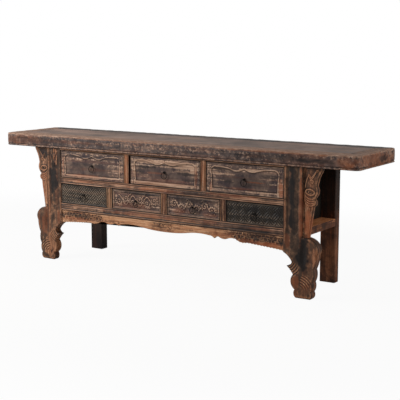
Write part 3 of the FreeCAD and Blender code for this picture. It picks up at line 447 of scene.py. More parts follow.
elm = {
    # Open-grained elm, its lacquer gone in patches; 2 mm streaks of grain are drawn 6 mm wide so that they show
    "grain": "x", "grainWidth": 6, "grainLength": 110, "patch": 110, "speck": 9,
    "wood": ("#573724", "#97694c", "#cfa686"), "lacquer": ("#292022", "#40302a", "#5c4636"),
    # Streaks of wear are 2.2 times as wide as the grain, and broad changes are wider still
    "streakWidth": 2.2, "streakShift": (3.1, 1.7, 0.4), "streakSwing": 1.9, "broadScale": 0.45,
    "worn": 0.36, "raisedGain": 0.7, "arrisGain": 0.3, "bareGain": 0.75, "upwardWearAndLightGain": 0.0, "patchGain": 1.0,
    "streakGain": 1.2, "speckGain": 0.8,
    # The grime colour also paints the shade in the hollows
    "grimeAndShade": "#1a110c", "grimeAndShadeShare": 0.9, "warm": "#8e4a28", "warmShare": 0.75, "flush": 0.35,
    # The soot colour also paints the shade of gaps and, above a set height, the shade under the top
    "sootAndShade": "#110f10", "sootAndShadeShare": 0.92, "shadeFrom": 2000, "shadeFade": 60,
    "lacquerRough": 0.5, "woodRough": 0.72, "gloss": 0.2, "bump": 0.6, "bumpDepth": 1.0,
    "grainRelief": 0.6, "speckRelief": 0.5, "lacquerRelief": 0.35,
}

looks = {
    # Planed elm top, its lacquer rubbed thin and greyed by dust: a soft sheen over a grey-brown
    "planedTop": {
        "wood": ("#866859", "#a08373", "#bba292"), "lacquer": ("#584a43", "#6e5c53", "#816c62"),
        "worn": 0.36, "patch": 260, "patchGain": 0.45, "streakGain": 1.3, "grainWidth": 9,
        "grainLength": 320, "flush": 0.1, "lacquerRough": 0.42, "woodRough": 0.6, "bump": 0.3,
        "bumpDepth": 0.4},
    # The same boards along the rear, where the lacquer stayed on: dark grey with a dull sheen
    "planedRearTop": {
        "wood": ("#5a4a42", "#6d5b51", "#806d62"), "lacquer": ("#2c2826", "#3a3532", "#4a433e"),
        "worn": 0.3, "patch": 190, "grainWidth": 9, "grainLength": 260, "lacquerRough": 0.4, "bump": 0.3,
        "bumpDepth": 0.4, "flush": 0.1},
    # Planed elm edge of the top: grey-brown lacquer chipped in 4 mm flecks, drawn 15 mm wide so that
    # they show, with the arris worn to wood
    "chippedEdge": {
        "lacquer": ("#2d2526", "#453936", "#5c4d47"), "worn": 0.25, "arrisGain": 0.85, "raisedGain": 0.45,
        "wood": ("#5e4536", "#886c5c", "#b69a86"), "patch": 40, "speck": 15, "grainLength": 34,
        "grainWidth": 6, "patchGain": 0.3, "speckGain": 2.4, "streakGain": 0.6, "flush": 0.3,
        "warm": "#80492a"},
    # Carved elm of the legs: grain runs up the post, hollows hold dark grime and painted shade
    "carvedLeg": {
        "grain": "z", "worn": 0.27, "wood": ("#4d3020", "#875c41", "#bd9070"), "raisedGain": 0.45,
        "lacquer": ("#35271f", "#49362a", "#5e4737"), "patch": 60, "grainLength": 80, "arrisGain": 0.2,
        "streakGain": 0.8, "grimeAndShadeShare": 0.6, "grimeAndShade": "#2a1c13"},
    # Carved elm of the spandrels: lacquer nearly gone, rounded forms polished to an orange-brown
    "carvedSpandrel": {
        "grain": "z", "worn": 0.42, "wood": ("#5c3824", "#98694c", "#c59878"), "raisedGain": 0.6,
        "lacquer": ("#33231e", "#523a2b", "#6b4f3c"), "patch": 60, "grainLength": 70, "arrisGain": 0.1,
        "grimeAndShadeShare": 0.7, "grimeAndShade": "#24180f"},
    # Planed and scraped moulding of the rails: beads polished pale by handling, quirks black with grime and
    # painted shade
    "mouldedRail": {
        "worn": 0.28, "raisedGain": 0.85, "wood": ("#5f4332", "#956e55", "#caa288"),
        "lacquer": ("#332521", "#4f3b30", "#664d3f"), "patch": 70, "grainLength": 130, "flush": 0.25},
    # The same moulding stood on end
    "mouldedPost": {
        "grain": "z", "worn": 0.38, "raisedGain": 0.8, "wood": ("#684832", "#a07758", "#cfa78a"),
        "lacquer": ("#35271f", "#554032", "#6b5140"), "patch": 70, "flush": 0.2},
    # Carved elm apron, washed back to tan wood along its middle
    "carvedApron": {
        "worn": 0.54, "wood": ("#784e35", "#ac7c59", "#d8ae8a"),
        "lacquer": ("#3a2920", "#61422f", "#7c5941"), "patch": 110, "raisedGain": 0.4, "grainLength": 130,
        "grimeAndShadeShare": 0.6, "grimeAndShade": "#2a1b12"},
    # Carved elm drawer fronts: thin grey-brown lacquer streaked in the fields, wood showing on the lines
    "carvedFront": {
        "worn": 0.32, "raisedGain": 0.5, "wood": ("#6a4f40", "#a5846d", "#d8b9a2"),
        "lacquer": ("#382c2e", "#52413b", "#6a564b"), "patch": 75, "grainLength": 200, "patchGain": 0.6,
        "speck": 12, "speckGain": 1.1, "streakGain": 1.6, "flush": 0.25, "grimeAndShadeShare": 0.6},
    # Elm front cut in a plaited mat pattern, its grooves blackened by grime and painted shade
    "matFront": {
        "worn": 0.06, "raisedGain": 1.15, "arrisGain": 0.1, "wood": ("#544a3e", "#716354", "#988772"),
        "lacquer": ("#221c18", "#30281f", "#3e342b"), "patch": 90, "patchGain": 0.6, "streakGain": 0.3,
        "grimeAndShadeShare": 1.0, "grimeAndShade": "#0f0c0a", "flush": 0.1},
    # Sawn and planed softwood at the rear, stained dark red-brown, with painted shade that turns it near black
    # above the shelf
    "stainedRearWithPaintedShade": {
        "grain": "z", "worn": 0.34, "wood": ("#553321", "#784b32", "#9a6a4b"), "shadeFrom": 400,
        "lacquer": ("#2c180f", "#462818", "#593420"), "patch": 90, "grainLength": 160, "sootAndShade": "#1a1512"},
    # Rear post that stands in the dark: its colour darkened nearly to black as painted shade, with brown
    # showing through
    "rearPostPaintedShade": {
        "grain": "z", "worn": 0.1, "wood": ("#2a1a12", "#38241a", "#483020"),
        "lacquer": ("#130b08", "#1c110c", "#261811"), "patch": 160, "flush": 0.1},
    # Panels of the ends, darkened to near black as painted shade
    "endPanelPaintedShade": {
        "grain": "z", "worn": 0.06, "wood": ("#1d150f", "#2a1d15", "#38281d"),
        "lacquer": ("#171411", "#211d18", "#2b261f"), "patch": 160, "flush": 0.05},
    # Shelf rail between the legs: orange wood where it faces up, worn there and lightened as painted light,
    # brown lacquer on its side
    "shelfRail": {
        "grain": "y", "worn": 0.24, "wood": ("#a35c33", "#cd8352", "#e0a377"), "upwardWearAndLightGain": 0.7,
        "lacquer": ("#331d13", "#4c2b1b", "#5f3924"), "patch": 80},
    # Bare pine inside the case, browned with age and never lacquered
    "bareInner": {
        "worn": 0.9, "grain": "y", "wood": ("#6d4f37", "#8c6b4d", "#a58563"),
        "lacquer": ("#5a4130", "#6a4e3a", "#7a5c45"), "grainLength": 220, "woodRough": 0.8, "gloss": 0.15,
        "flush": 0.1},
}
wood = {name: agedWood(name, {**elm, **look}) for name, look in looks.items()}


def forgedIron(name):
    # Forged iron, hammered and browned: dark grey with rust in the dents and dull bright rubs
    look = {"dark": "#100e0d", "rust": "#2a1e17", "rub": "#35302c", "dent": 6, "grit": 1.2}
    material, tree, place = newMaterial(name)
    dent = noise(tree, place, repeats(look["dent"]), 3.0, 0.6)
    grit = noise(tree, place, repeats(look["grit"]), 2.0)
    colour = ramped(tree, dent, (0.32, 0.5, 0.72), (look["rust"], look["dark"], look["rub"]))
    rough = ranged(tree, dent, target=(0.62, 0.4))
    normal = bumped(tree, calculate(tree, "MULTIPLY_ADD", grit, 0.3, dent), 0.5, 0.5)
    return surfaced(material, {"Base Color": colour, "Roughness": rough, "Normal": normal, "Metallic": 0.85})


iron = forgedIron("forgedIron")
print("materials ready:", len(bpy.data.materials))


# Meshes

def makePiece(name, places, faces, fields, finish, body, slot, node):
    mesh = bpy.data.meshes.new(name)
    mesh.from_pydata((np.array(places) * mm).tolist(), [], faces)
    for field, values in fields.items():
        layer = mesh.attributes.new(field, "FLOAT", "POINT")
        layer.data.foreach_set("value", np.asarray(values, np.float32))
    shape = bmesh.new()
    shape.from_mesh(mesh)
    bmesh.ops.recalc_face_normals(shape, faces=shape.faces)
    bmesh.ops.triangulate(shape, faces=[face for face in shape.faces if len(face.verts) > 4])
    shape.to_mesh(mesh)
    shape.free()
    mesh.polygons.foreach_set("use_smooth", [True] * len(mesh.polygons))
    mesh.set_sharp_from_angle(angle=sharpAngle)
    mesh.materials.append(finish)
    piece = bpy.data.objects.new(name, mesh)
    bpy.context.scene.collection.objects.link(piece)
    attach(piece, body)
    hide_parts(node)


def sweptFaces(count, around, closed=False):
    # Faces between rings of points that follow each other; the ends are capped unless the rings close
    faces = []
    for at in range(count if closed else count - 1):
        start = at * around
        ahead = (at + 1) % count * around
        for number in range(around):
            following = (number + 1) % around
            faces.append([start + number, start + following, ahead + following, ahead + number])
    if not closed:
        faces.append(list(range(around)))
        faces.append(list(range((count - 1) * around, count * around)))
    return faces


boardDefaults = {
    # Steps of the grid, rows down the walls, rounding of the free edges, and how wear, grime and painted shade
    # are read
    #  off the relief: its reach from an edge, the blur it is compared with, and the rise over that which counts
    #      in full
    "body": "frame", "slot": "carved_wood", "steps": (2.2, 2.2), "rows": 2, "rounding": 2.0, "arrisReach": 9,
    "blur": 7, "fullRise": 1.1, "cornerTurn": 30, "free": lambda x, z: True,
}


def carvedBoard(name, node, loop, reliefOf, fieldsOf, **changes):
    # A board seen from the front: a fine grid cut to the outline and sunk by the relief, walls, a flat back
    nodeLow, nodeHigh = boxOf(node)
    board = {**boardDefaults, "front": nodeLow[1], "back": nodeHigh[1], **changes}
    loop = np.asarray(loop, float)
    low = loop.min(axis=0)
    high = loop.max(axis=0)
    stepX, stepZ = board["steps"]
    across = np.linspace(low[0], high[0], max(2, math.ceil((high[0] - low[0]) / stepX)) + 1)
    up = np.linspace(low[1], high[1], max(2, math.ceil((high[1] - low[1]) / stepZ)) + 1)
    cellX, cellZ = np.meshgrid((across[1:] + across[:-1]) / 2, (up[1:] + up[:-1]) / 2, indexing="ij")
    kept = insideLoop(cellX, cellZ, loop)
    # Cells that touch by a corner only get a neighbour, so that the rim stays one ring
    for _ in range(3):
        rising = kept[:-1, :-1] & kept[1:, 1:] & ~kept[1:, :-1] & ~kept[:-1, 1:]
        falling = ~kept[:-1, :-1] & ~kept[1:, 1:] & kept[1:, :-1] & kept[:-1, 1:]
        kept[1:, :-1] |= rising
        kept[:-1, :-1] |= falling
    padded = np.pad(kept, 1)
    corners = (padded[:-1, :-1], padded[1:, :-1], padded[:-1, 1:], padded[1:, 1:])
    used = np.any(corners, axis=0)
    rim = used & ~np.all(corners, axis=0)
    gridX, gridZ = np.meshgrid(across, up, indexing="ij")
    _, gridX[rim], gridZ[rim] = nearestOn(gridX[rim], gridZ[rim], edgesOf(loop))
    rimSpots = np.argwhere(rim)
    for at in range(len(loop)):
        if turnAt(loop[at - 1], loop[at], loop[(at + 1) % len(loop)]) > board["cornerTurn"]:
            away = np.hypot(gridX[rim] - loop[at][0], gridZ[rim] - loop[at][1])
            spot = tuple(rimSpots[away.argmin()])
            gridX[spot], gridZ[spot] = loop[at]

    free = [edge for edge in edgesOf(loop) if board["free"](*((edge[0] + edge[1]) / 2))]
    edge = nearestOn(gridX, gridZ, free)[0] if free else np.full(gridX.shape, 1e3)
    depth = reliefOf(gridX, gridZ, edge)
    cells = (board["blur"] / stepX, board["blur"] / stepZ)
    raised = np.clip((blur(depth, cells) - depth) / board["fullRise"], -1, 1)
    rounding = board["rounding"]
    near = np.clip(rounding - edge, 0, rounding)
    depth = np.maximum(depth, 0) + rounding - np.sqrt(rounding ** 2 - near ** 2)

    number = np.full(gridX.shape, -1)
    number[used] = np.arange(used.sum())
    cellI, cellJ = np.nonzero(kept)
    quads = np.stack([number[cellI, cellJ], number[cellI + 1, cellJ], number[cellI + 1, cellJ + 1],
                      number[cellI, cellJ + 1]], axis=1)
    following = {}
    for corner, (sideI, sideJ) in enumerate(((0, -1), (1, 0), (0, 1), (-1, 0))):
        outer = ~padded[cellI + 1 + sideI, cellJ + 1 + sideJ]
        following.update(zip(quads[outer, corner].tolist(), quads[outer, (corner + 1) % 4].tolist()))
    first = next(iter(following))
    ring = [first]
    while following[ring[-1]] != first:
        ring.append(following[ring[-1]])

    # Walls go from the rim to the back in rows
    back = board["back"]
    x = gridX[used]
    z = gridZ[used]
    y = board["front"] + depth[used]
    arris = smooth(1 - edge[used] / board["arrisReach"])
    height = raised[used]
    faces = quads.tolist()
    ringX, ringY, ringZ = x[ring], y[ring], z[ring]
    last = ring
    for row in range(1, board["rows"] + 1):
        start = len(x)
        rowY = ringY + (back - ringY) * row / board["rows"]
        x = np.concatenate([x, ringX])
        y = np.concatenate([y, rowY])
        z = np.concatenate([z, ringZ])
        fromArris = np.minimum(rowY - ringY, back - rowY)
        arris = np.concatenate([arris, smooth(1 - fromArris / board["arrisReach"])])
        height = np.concatenate([height, np.zeros(len(ring))])
        following = list(range(start, start + len(ring)))
        for at in range(len(ring)):
            ahead = (at + 1) % len(ring)
            faces.append([last[ahead], last[at], following[at], following[ahead]])
        last = following
    faces.append(last[::-1])
    fromEdge = np.concatenate([edge[used], np.zeros(len(x) - used.sum())])
    fields = {"raised": height, "arris": arris, **fieldsOf(x, z, fromEdge)}
    places = np.stack([x, y, z], axis=1)
    makePiece(name, places, faces, fields, board["finish"], board["body"], board["slot"], node)


slabLow = boxOf("top_front_rail")[0][2]
postInner = boxOf("front_leg_right")[0][0]
postOuter = boxOf("rear_leg_right")[1][0]
shoulder = boxOf("spandrel_right")[0][2]


# Front legs

legCarving = {
    # The upright post: a bead along each side, and a sunk channel with a low crown between them
    "beadPlace": 11, "beadHalf": 8.5, "beadRise": 2.0, "beadRunOut": (55, 45), "stripWidth": 24,
    "channelDepth": 3.6, "channelFoot": 402, "channelEase": 3, "crownRise": 1.1, "crownHalf": 30,
    # Below the shoulder: a bead along the edge, a hollow, grooves in rings of (centre, patch, pitch, depth)
    # for the feathers and the arch, lobes outside, and a worn foot
    "ground": 1.3, "edgeBead": (10, 9, 0.35), "hollow": (974, 262, 26, 92), "hollowDepth": 5.0,
    "rings": (((842, 240), (908, 165, 46, 50), 15, 3.0), ((945, 40), (988, 98, 46, 50), 15, 2.8)),
    "lobeFrom": (3, 30), "lobeReach": 14, "lobeDepth": 2.2, "footHeight": 16, "footWear": 4,
    "leafRise": 2.6, "uneven": (0.35, 38),
}


def within(s, z, patch):
    # 1 in the middle of an elliptical patch, 0 on its rim
    middleX, middleZ, halfX, halfZ = patch
    return 1 - np.hypot((s - middleX) / halfX, (z - middleZ) / halfZ)


def legRelief(s, z, edge):
    leg = legCarving
    middle = (postInner + postOuter) / 2
    post = np.full(s.shape, leg["beadRise"])
    for fromSide in (s - postInner, postOuter - s):
        post = post - leg["beadRise"] * ridge(np.abs(fromSide - leg["beadPlace"]), leg["beadHalf"])
    footRound = np.hypot(s - middle, np.minimum(z - leg["channelFoot"], 0))
    inChannel = smooth((postOuter - middle - leg["stripWidth"] + 1 - footRound) / leg["channelEase"])
    floor = leg["channelDepth"] - leg["crownRise"] * ridge(np.abs(s - middle), leg["crownHalf"])
    post = post * (1 - inChannel) + floor * inChannel

    beadPlace, beadHalf, beadRise = leg["edgeBead"]
    lower = leg["ground"] - beadRise * ridge(np.abs(edge - beadPlace), beadHalf)
    lower = lower + leg["hollowDepth"] * smooth(1.25 * within(s, z, leg["hollow"]))
    for centre, patch, pitch, sink in leg["rings"]:
        reach = np.hypot(s - centre[0], z - centre[1])
        wave = 0.5 - 0.5 * np.cos(math.tau * reach / pitch)
        lower = lower + sink * smooth(2.2 * within(s, z, patch)) * wave ** 1.5
    outside = smooth((s - postOuter - leg["lobeFrom"][0]) / leg["lobeFrom"][1])
    lower = lower + leg["lobeDepth"] * outside * np.clip(1 - edge / leg["lobeReach"], 0, 1) ** 2
    lower = lower + leg["footWear"] * np.clip(1 - z / leg["footHeight"], 0, 1) ** 2
    # The beads of the post run on a little below the shoulder before they die out
    runOut, fade = leg["beadRunOut"]
    onPost = smooth((z - (shoulder - runOut)) / fade) * (1 - smooth((s - postOuter + 2) / 6))
    depth = post * onPost + lower * (1 - onPost)
    return depth + leg["uneven"][0] * waviness(s, z, leg["uneven"][1], 11) + 0.25


# Foliage on the left post
postLeaves = [leaf((middleX, 640 + rise), heading, 40, 7.5, bend) for middleX, rise, heading, bend in (
    (902, 0, 90, 20), (886, 10, 125, -60), (918, 10, 55, 60), (880, 44, 120, -50), (924, 44, 60, 50),
    (902, 48, 92, -25), (886, 82, 118, -60), (918, 82, 62, 60), (902, 94, 88, 25))]
postLeaves += [curl(middle, 11, start, hand, 1.2, (4.2, 2.6)) for middle, start, hand in (
    ((882, 748), 200, 1), ((922, 748), -20, -1), ((902, 712), 90, 1))]

legFinish = {
    1: {
        "sootAndShade": [
            (897, 640, 32, 150, 1.05), (902, 470, 30, 120, 0.95), (970, 258, 46, 104, 1.3),
            (900, 330, 14, 50, 0.5), (885, 60, 16, 24, 0.4), (1000, 40, 60, 30, 0.3),
            (866, 560, 14, 200, 0.4)],
        "warm": [
            (952, 560, 14, 210, 0.6), (955, 400, 14, 90, 0.7), (925, 95, 28, 38, 0.6),
            (1040, 250, 30, 50, 0.3), (870, 330, 20, 60, 0.4), (1000, 60, 40, 40, 0.3)],
        "bare": [
            (1045, 260, 32, 60, 0.35), (960, 30, 70, 24, 0.15), (898, 200, 24, 40, 0.15),
            (870, 600, 12, 200, 0.1)],
    },
    -1: {
        "sootAndShade": [
            (-909, 560, 46, 124, 1.15), (-900, 430, 12, 40, 0.5), (-968, 230, 9, 50, 0.3),
            (-905, 330, 6, 50, 0.2), (-905, 700, 34, 40, 0.2)],
        "warm": [
            (-1000, 240, 30, 90, 0.45), (-930, 60, 60, 40, 0.2), (-872, 300, 18, 60, 0.4),
            (-990, 330, 14, 60, 0.5)],
        "bare": [
            (-915, 330, 40, 120, 0.25), (-925, 110, 80, 110, 0.6), (-912, 710, 30, 44, 0.2),
            (-862, 500, 10, 120, 0.25)],
    },
}


def freeLegEdge(x, z):
    return abs(x) > postInner + 1 and z < shoulder + 1 and z < slabLow - 1 or z < shoulder - 8


def makeLegs():
    for side, name in sides:
        def reliefOf(x, z, edge):
            depth = legRelief(side * x, z, edge)
            if side < 0:
                depth = depth - legCarving["leafRise"] * strokeHeight(-x, z, postLeaves)
            return depth

        node = f"front_leg_{name}"
        carvedBoard(f"carved_leg_{name}", node, smoothLoop(forwardRim(node, -1, 4)), reliefOf,
                    lambda x, z, edge: stains(x, z, legFinish[side], 21),
                    free=freeLegEdge, rounding=3.0, rows=6, finish=wood["carvedLeg"])


makeLegs()
print("legs carved")


# Spandrels

spandrelCarving = {"ground": 3.4, "rise": 1.6, "from": 560, "fade": 80, "edgeWear": 2.4, "edgeReach": 8}

# A zigzag ribbon and a curl at the top, an eye below it, folds under the eye and stems down to the point
spandrelStrokes = [curl((1014, 681), 12, 150, -1, 1.3, (3.6, 2.2)), ellipse((1004, 622), 27, 16, 4.6, -8),
                   ellipse((1005, 622), 12, 6, 2.4, -8), curl((1046, 742), 9, 30, 1, 1.1, (3.4, 2)),
                   curl((1034, 590), 8, 160, 1, 1.1, (3.4, 2)), curl((1030, 556), 7, 140, 1, 1.1, (3.4, 2))]
for shift in (0, 9):
    zigzag = np.array([(973, 648), (978, 680), (995 - shift / 3, 724 - shift), (1009, 702 - shift),
                       (1024, 718 - shift), (1044, 748 - shift / 2)], float)
    spandrelStrokes.append((zigzag, np.full(len(zigzag), 2.9)))
for number in range(4):
    drop = 13 * number
    lean = 9 * number
    spandrelStrokes.append(swept([(969, 618 - drop), (974, 588 - drop), (1004, 574 - drop),
                                  (1034 - 3 * number, 588 - drop)], (4.6, 3.0)))
    spandrelStrokes.append(swept([(976 + lean, 556 - lean), (972 + lean, 510), (990 + lean / 2, 460),
                                  (978 + lean / 2, 380)], (4.4, 2.4)))

spandrelFinish = {
    1: {
        "sootAndShade": [
            # The patch at (1006, 622) darkens the eye's hole with soot and painted shade
            (1000, 765, 70, 12, 0.7), (970, 700, 6, 60, 0.8), (1006, 622, 15, 8, 0.8),
            (1050, 720, 12, 20, 0.4)],
        "warm": [(1000, 420, 40, 100, 0.8), (1000, 560, 40, 60, 0.35), (1010, 690, 30, 60, 0.2)],
        "bare": [(1000, 450, 40, 110, 0.3), (1010, 620, 34, 30, 0.3)],
    },
    -1: {
        # The patch at (-1006, 622) darkens the eye's hole with soot and painted shade
        "sootAndShade": [(-1000, 735, 60, 40, 0.8), (-968, 640, 8, 80, 0.7), (-1006, 622, 15, 8, 1.0)],
        "warm": [(-1005, 560, 30, 40, 0.4), (-1010, 470, 14, 90, 0.6)],
        "bare": [(-990, 480, 14, 110, 0.2), (-1006, 622, 30, 20, 0.25)],
    },
}


def spandrelRelief(s, z, edge):
    carving = spandrelCarving
    ground = carving["ground"] - carving["rise"] * smooth((carving["from"] - z) / carving["fade"])
    depth = ground * (1 - strokeHeight(s, z, spandrelStrokes))
    depth = depth + carving["edgeWear"] * np.clip(1 - edge / carving["edgeReach"], 0, 1) ** 2
    return depth + 0.3 * waviness(s, z, 30, 41) + 0.3


def makeSpandrels():
    for side, name in sides:
        node = f"spandrel_{name}"
        carvedBoard(f"carved_spandrel_{name}", node, smoothLoop(forwardRim(node, -1, 1)),
                    lambda x, z, edge: spandrelRelief(side * x, z, edge),
                    lambda x, z, edge: stains(x, z, spandrelFinish[side], 51),
                    free=lambda x, z: abs(x) > postOuter + 1 and shoulder + 1 < z < slabLow - 1,
                    steps=(1.6, 2.0), rounding=2.5, rows=3, finish=wood["carvedSpandrel"])


makeSpandrels()
print("spandrels carved")


# Apron

apronCarving = {
    "thick": 22, "from": 500, "to": 838, "scallopRise": 3.2, "scallopPitch": 21,
    "stemHeight": 322, "stemSway": 9, "curlSway": 13, "stemWave": 27, "leafPitch": 13.0, "curlPitch": 42.0,
    "ground": 0.6, "sink": 1.9, "foliageRise": 0.3, "edgeBead": 0.4, "jointDepth": 1.6,
}


def apronFoliage():
    # Near each end a waving stem with leaves on both sides and curls in its bends, in the middle three scrolls
    carving = apronCarving

    def along(side, reach, sway):
        return side * reach, carving["stemHeight"] + sway * math.sin(reach / carving["stemWave"])

    strokes = []
    for side in (1, -1):
        for number, reach in enumerate(np.arange(carving["from"], 836, carving["leafPitch"])):
            turn = 62 if number % 2 else -58
            heading = turn if side > 0 else 180 - turn
            bend = side * (45 if number % 2 else -45)
            strokes.append(leaf(along(side, reach, carving["stemSway"]), heading, 25, 4.2, bend))
        stem = np.array([along(side, reach, carving["stemSway"]) for reach in np.arange(496, 838, 5)])
        strokes.append((stem, np.full(len(stem), 2.6)))
        for number, reach in enumerate(np.arange(530, 830, carving["curlPitch"])):
            hand = side * (1 if number % 2 else -1)
            strokes.append(curl(along(side, reach, -carving["curlSway"]), 10, 200, hand, 1.2, (3.2, 2.2)))
    for middleX, start, hand in ((-26, 200, -1), (6, -20, 1), (40, 160, -1)):
        strokes += scroll((middleX, 323.0), 9, start, hand, leafCount=5, thick=2.8)
    return strokes


apronFinish = {
    "sootAndShade": [
        (690, 330, 190, 26, 0.7), (826, 318, 20, 26, 1.0), (560, 318, 60, 24, 0.5),
        (-690, 326, 170, 24, 0.55), (-832, 318, 14, 30, 0.8), (-540, 326, 60, 20, 0.4),
        (12, 341, 60, 6, 0.5)],
    "warm": [
        (740, 290, 130, 18, 0.9), (590, 300, 80, 18, 0.6), (250, 330, 260, 10, 0.35),
        (-250, 312, 200, 14, 0.2), (-700, 300, 150, 14, 0.5), (420, 318, 120, 12, 0.5)],
    "bare": [
        (-250, 320, 260, 34, 0.3), (150, 318, 160, 30, 0.15), (680, 318, 200, 44, -0.3),
        (-670, 318, 190, 44, -0.25)],
}


def makeApron():
    carving = apronCarving
    apronStrokes = apronFoliage()
    front = boxOf("apron")[0][1]
    loop = smoothLoop(forwardRim("apron", -1, 1), step=3)
    loopHigh = loop[:, 1].max()
    reach = np.abs(loop[:, 0])
    carved = smooth((reach - carving["from"]) / 20) * smooth((carving["to"] - reach) / 12)
    carved = carved * (loop[:, 1] < loopHigh - 20)
    scallops = np.abs(np.sin(math.pi * loop[:, 0] / carving["scallopPitch"]))
    loop[:, 1] += carving["scallopRise"] * carved * scallops

    def reliefOf(x, z, edge):
        # The ground is sunk only round the foliage, so that its border follows the leaves
        leaves = strokeHeight(x, z, apronStrokes)
        ground = smooth(2.6 * blur((leaves > 0.02) * 1.0, (4, 5)))
        ground = ground * smooth((edge - 3) / 4)
        depth = carving["ground"] + carving["sink"] * ground * (1 - leaves) - carving["foliageRise"] * leaves
        depth = depth - carving["edgeBead"] * ridge(np.abs(edge - 4), 3) * (1 - ground)
        depth = depth + carving["jointDepth"] * smooth((z - loopHigh + 7) / 5)
        return depth + 0.3 * waviness(x, z, 42, 71) + 0.15

    def fieldsOf(x, z, edge):
        fields = stains(x, z, apronFinish, 81)
        # Painted shade in the joint under the bottom rail, along the apron's top
        fields["sootAndShade"] = np.maximum(fields["sootAndShade"], 0.8 * smooth((z - loopHigh + 6) / 4))
        return fields

    carvedBoard("carved_apron", "apron", loop, reliefOf, fieldsOf, back=front + carving["thick"],
                free=lambda x, z: z < loopHigh - 1 and abs(x) < postInner - 1, steps=(2.2, 1.8), rounding=2.5,
                finish=wood["carvedApron"], slot="apron_wood")


makeApron()
print("apron carved")


# Rails and dividers

moulding = {
    "ground": 2.4, "bead": 0.2, "beadRise": 2.2, "quirkPlace": 0.25, "quirkHalf": 0.055, "quirkDepth": 3.6,
    "crownRise": 1.5, "topBead": (0.42, 0.4), "dividerHalf": {"upper_dividers": 20, "lower_dividers": 23},
}
railBoard = {"blur": 5, "rounding": 0.5, "slot": "rail_wood", "free": lambda x, z: False,
             "finish": wood["mouldedRail"]}


def mouldedDepth(share, waver):
    # Depth at a share of the width: a bead along both edges, a quirk inside each, and a low crown between
    fromEdge = np.minimum(share, 1 - share)
    half = moulding["bead"] / 2
    depth = moulding["ground"] - moulding["beadRise"] * ridge(np.abs(fromEdge - half), half)
    crownHalf = 0.5 - moulding["quirkPlace"]
    depth = depth - moulding["crownRise"] * ridge(np.abs(share - 0.5), crownHalf)
    quirk = moulding["quirkDepth"] * ridge(np.abs(fromEdge - moulding["quirkPlace"]), moulding["quirkHalf"])
    return np.maximum(depth, quirk) + waver


railFinish = {
    "front_middle_rail": {
        "sootAndShade": [
            (-500, 552, 120, 8, 0.5), (300, 548, 200, 7, 0.6), (760, 560, 60, 14, 0.5),
            (-830, 552, 20, 22, 0.6)],
        "warm": [(-50, 548, 220, 14, 0.5), (500, 560, 200, 9, 0.5), (-640, 556, 90, 10, 0.5)],
        "bare": [
            (-640, 560, 140, 12, 0.3), (-120, 562, 90, 12, 0.3), (560, 540, 200, 10, 0.25),
            (250, 556, 90, 20, -0.2)],
    },
    "front_bottom_rail": {
        "sootAndShade": [
            (640, 362, 240, 12, 0.8), (660, 392, 190, 7, 0.5), (-300, 362, 300, 7, 0.4),
            (250, 358, 200, 6, 0.5)],
        "warm": [(-100, 380, 400, 14, 0.4), (700, 380, 100, 9, 0.5), (330, 385, 100, 10, 0.4)],
        "bare": [(-650, 385, 190, 16, 0.15), (-150, 378, 260, 20, 0.25), (650, 376, 220, 26, -0.3)],
    },
}
# Painted shadow lines on the top rail: under the lip of the slab, and along the gap over the upper drawers
topRailShadowLines = {"sootAndShade": [(0, 767, 900, 5, 0.7), (0, 755, 900, 2.5, 0.6)]}


def makeRails():
    for node, finish in railFinish.items():
        low, high = boxOf(node)

        def reliefOf(x, z, edge):
            return mouldedDepth((z - low[2]) / (high[2] - low[2]), 0.35 + 0.4 * waviness(x, z * 0.3, 60, 101))

        def fieldsOf(x, z, edge):
            # The soot along the rail's upper and lower edges is painted shade of the drawers' gaps
            fields = shadedAlongGap(stains(x, z, finish, 111), np.minimum(z - low[2], high[2] - z), 3.4)
            fields["bare"] = fields["bare"] + 0.22 * waviness(x, z * 2, 210, 117)
            return fields

        name = node.replace("front", "moulded")
        loop = rectangle((-postInner, low[2]), (postInner, high[2]))
        carvedBoard(name, node, loop, reliefOf, fieldsOf, **railBoard, steps=(7, 1.1))

    topLow = boxOf("front_top_rail")[0][2]

    def beadOf(x, z, edge):
        place, half = moulding["topBead"]
        bead = moulding["beadRise"] * ridge(np.abs((z - topLow) / (slabLow - topLow) - place), half)
        return moulding["ground"] - bead + 0.3 * waviness(x, z * 0.3, 70, 121) + 0.2

    loop = rectangle((-postInner, topLow), (postInner, slabLow))
    carvedBoard("moulded_top_rail", "front_top_rail", loop, beadOf,
                lambda x, z, edge: stains(x, z, topRailShadowLines, 131),
                **{**railBoard, "blur": 4, "steps": (7, 1.0)})


dividerFinish = {
    # Strengths of the finish over each divider, from the left
    "upper_dividers": ({"warm": 0.7, "bare": 0.5, "sootAndShade": 0.05}, {"warm": 0.5, "bare": 0.25, "sootAndShade": 0.05}),
    "lower_dividers": ({"warm": 0.0, "bare": 0.2, "sootAndShade": 0.15}, {"warm": 0.35, "bare": -0.05, "sootAndShade": 0.2},
                       {"warm": 0.3, "bare": -0.25, "sootAndShade": 0.5}),
}


def makeDivider(node, number, middle, half, low, high):
    def reliefOf(x, z, edge):
        waver = 0.3 + 0.35 * waviness(x * 0.3, z, 60, 141 + number)
        return mouldedDepth((x - middle + half) / (2 * half), waver)

    def fieldsOf(x, z, edge):
        fields = {field: strength * (0.8 + 0.6 * waviness(x * 3, z, 60, 151 + at))
                  for at, (field, strength) in enumerate(dividerFinish[node][number].items())}
        # The soot along the divider's sides is painted shade of the drawers' gaps
        return shadedAlongGap(fields, half - np.abs(x - middle), 3.2)

    loop = rectangle((middle - half, low), (middle + half, high))
    carvedBoard(f"moulded_{node}_{number}", node, loop, reliefOf, fieldsOf,
                **{**railBoard, "finish": wood["mouldedPost"], "steps": (1.1, 7)})


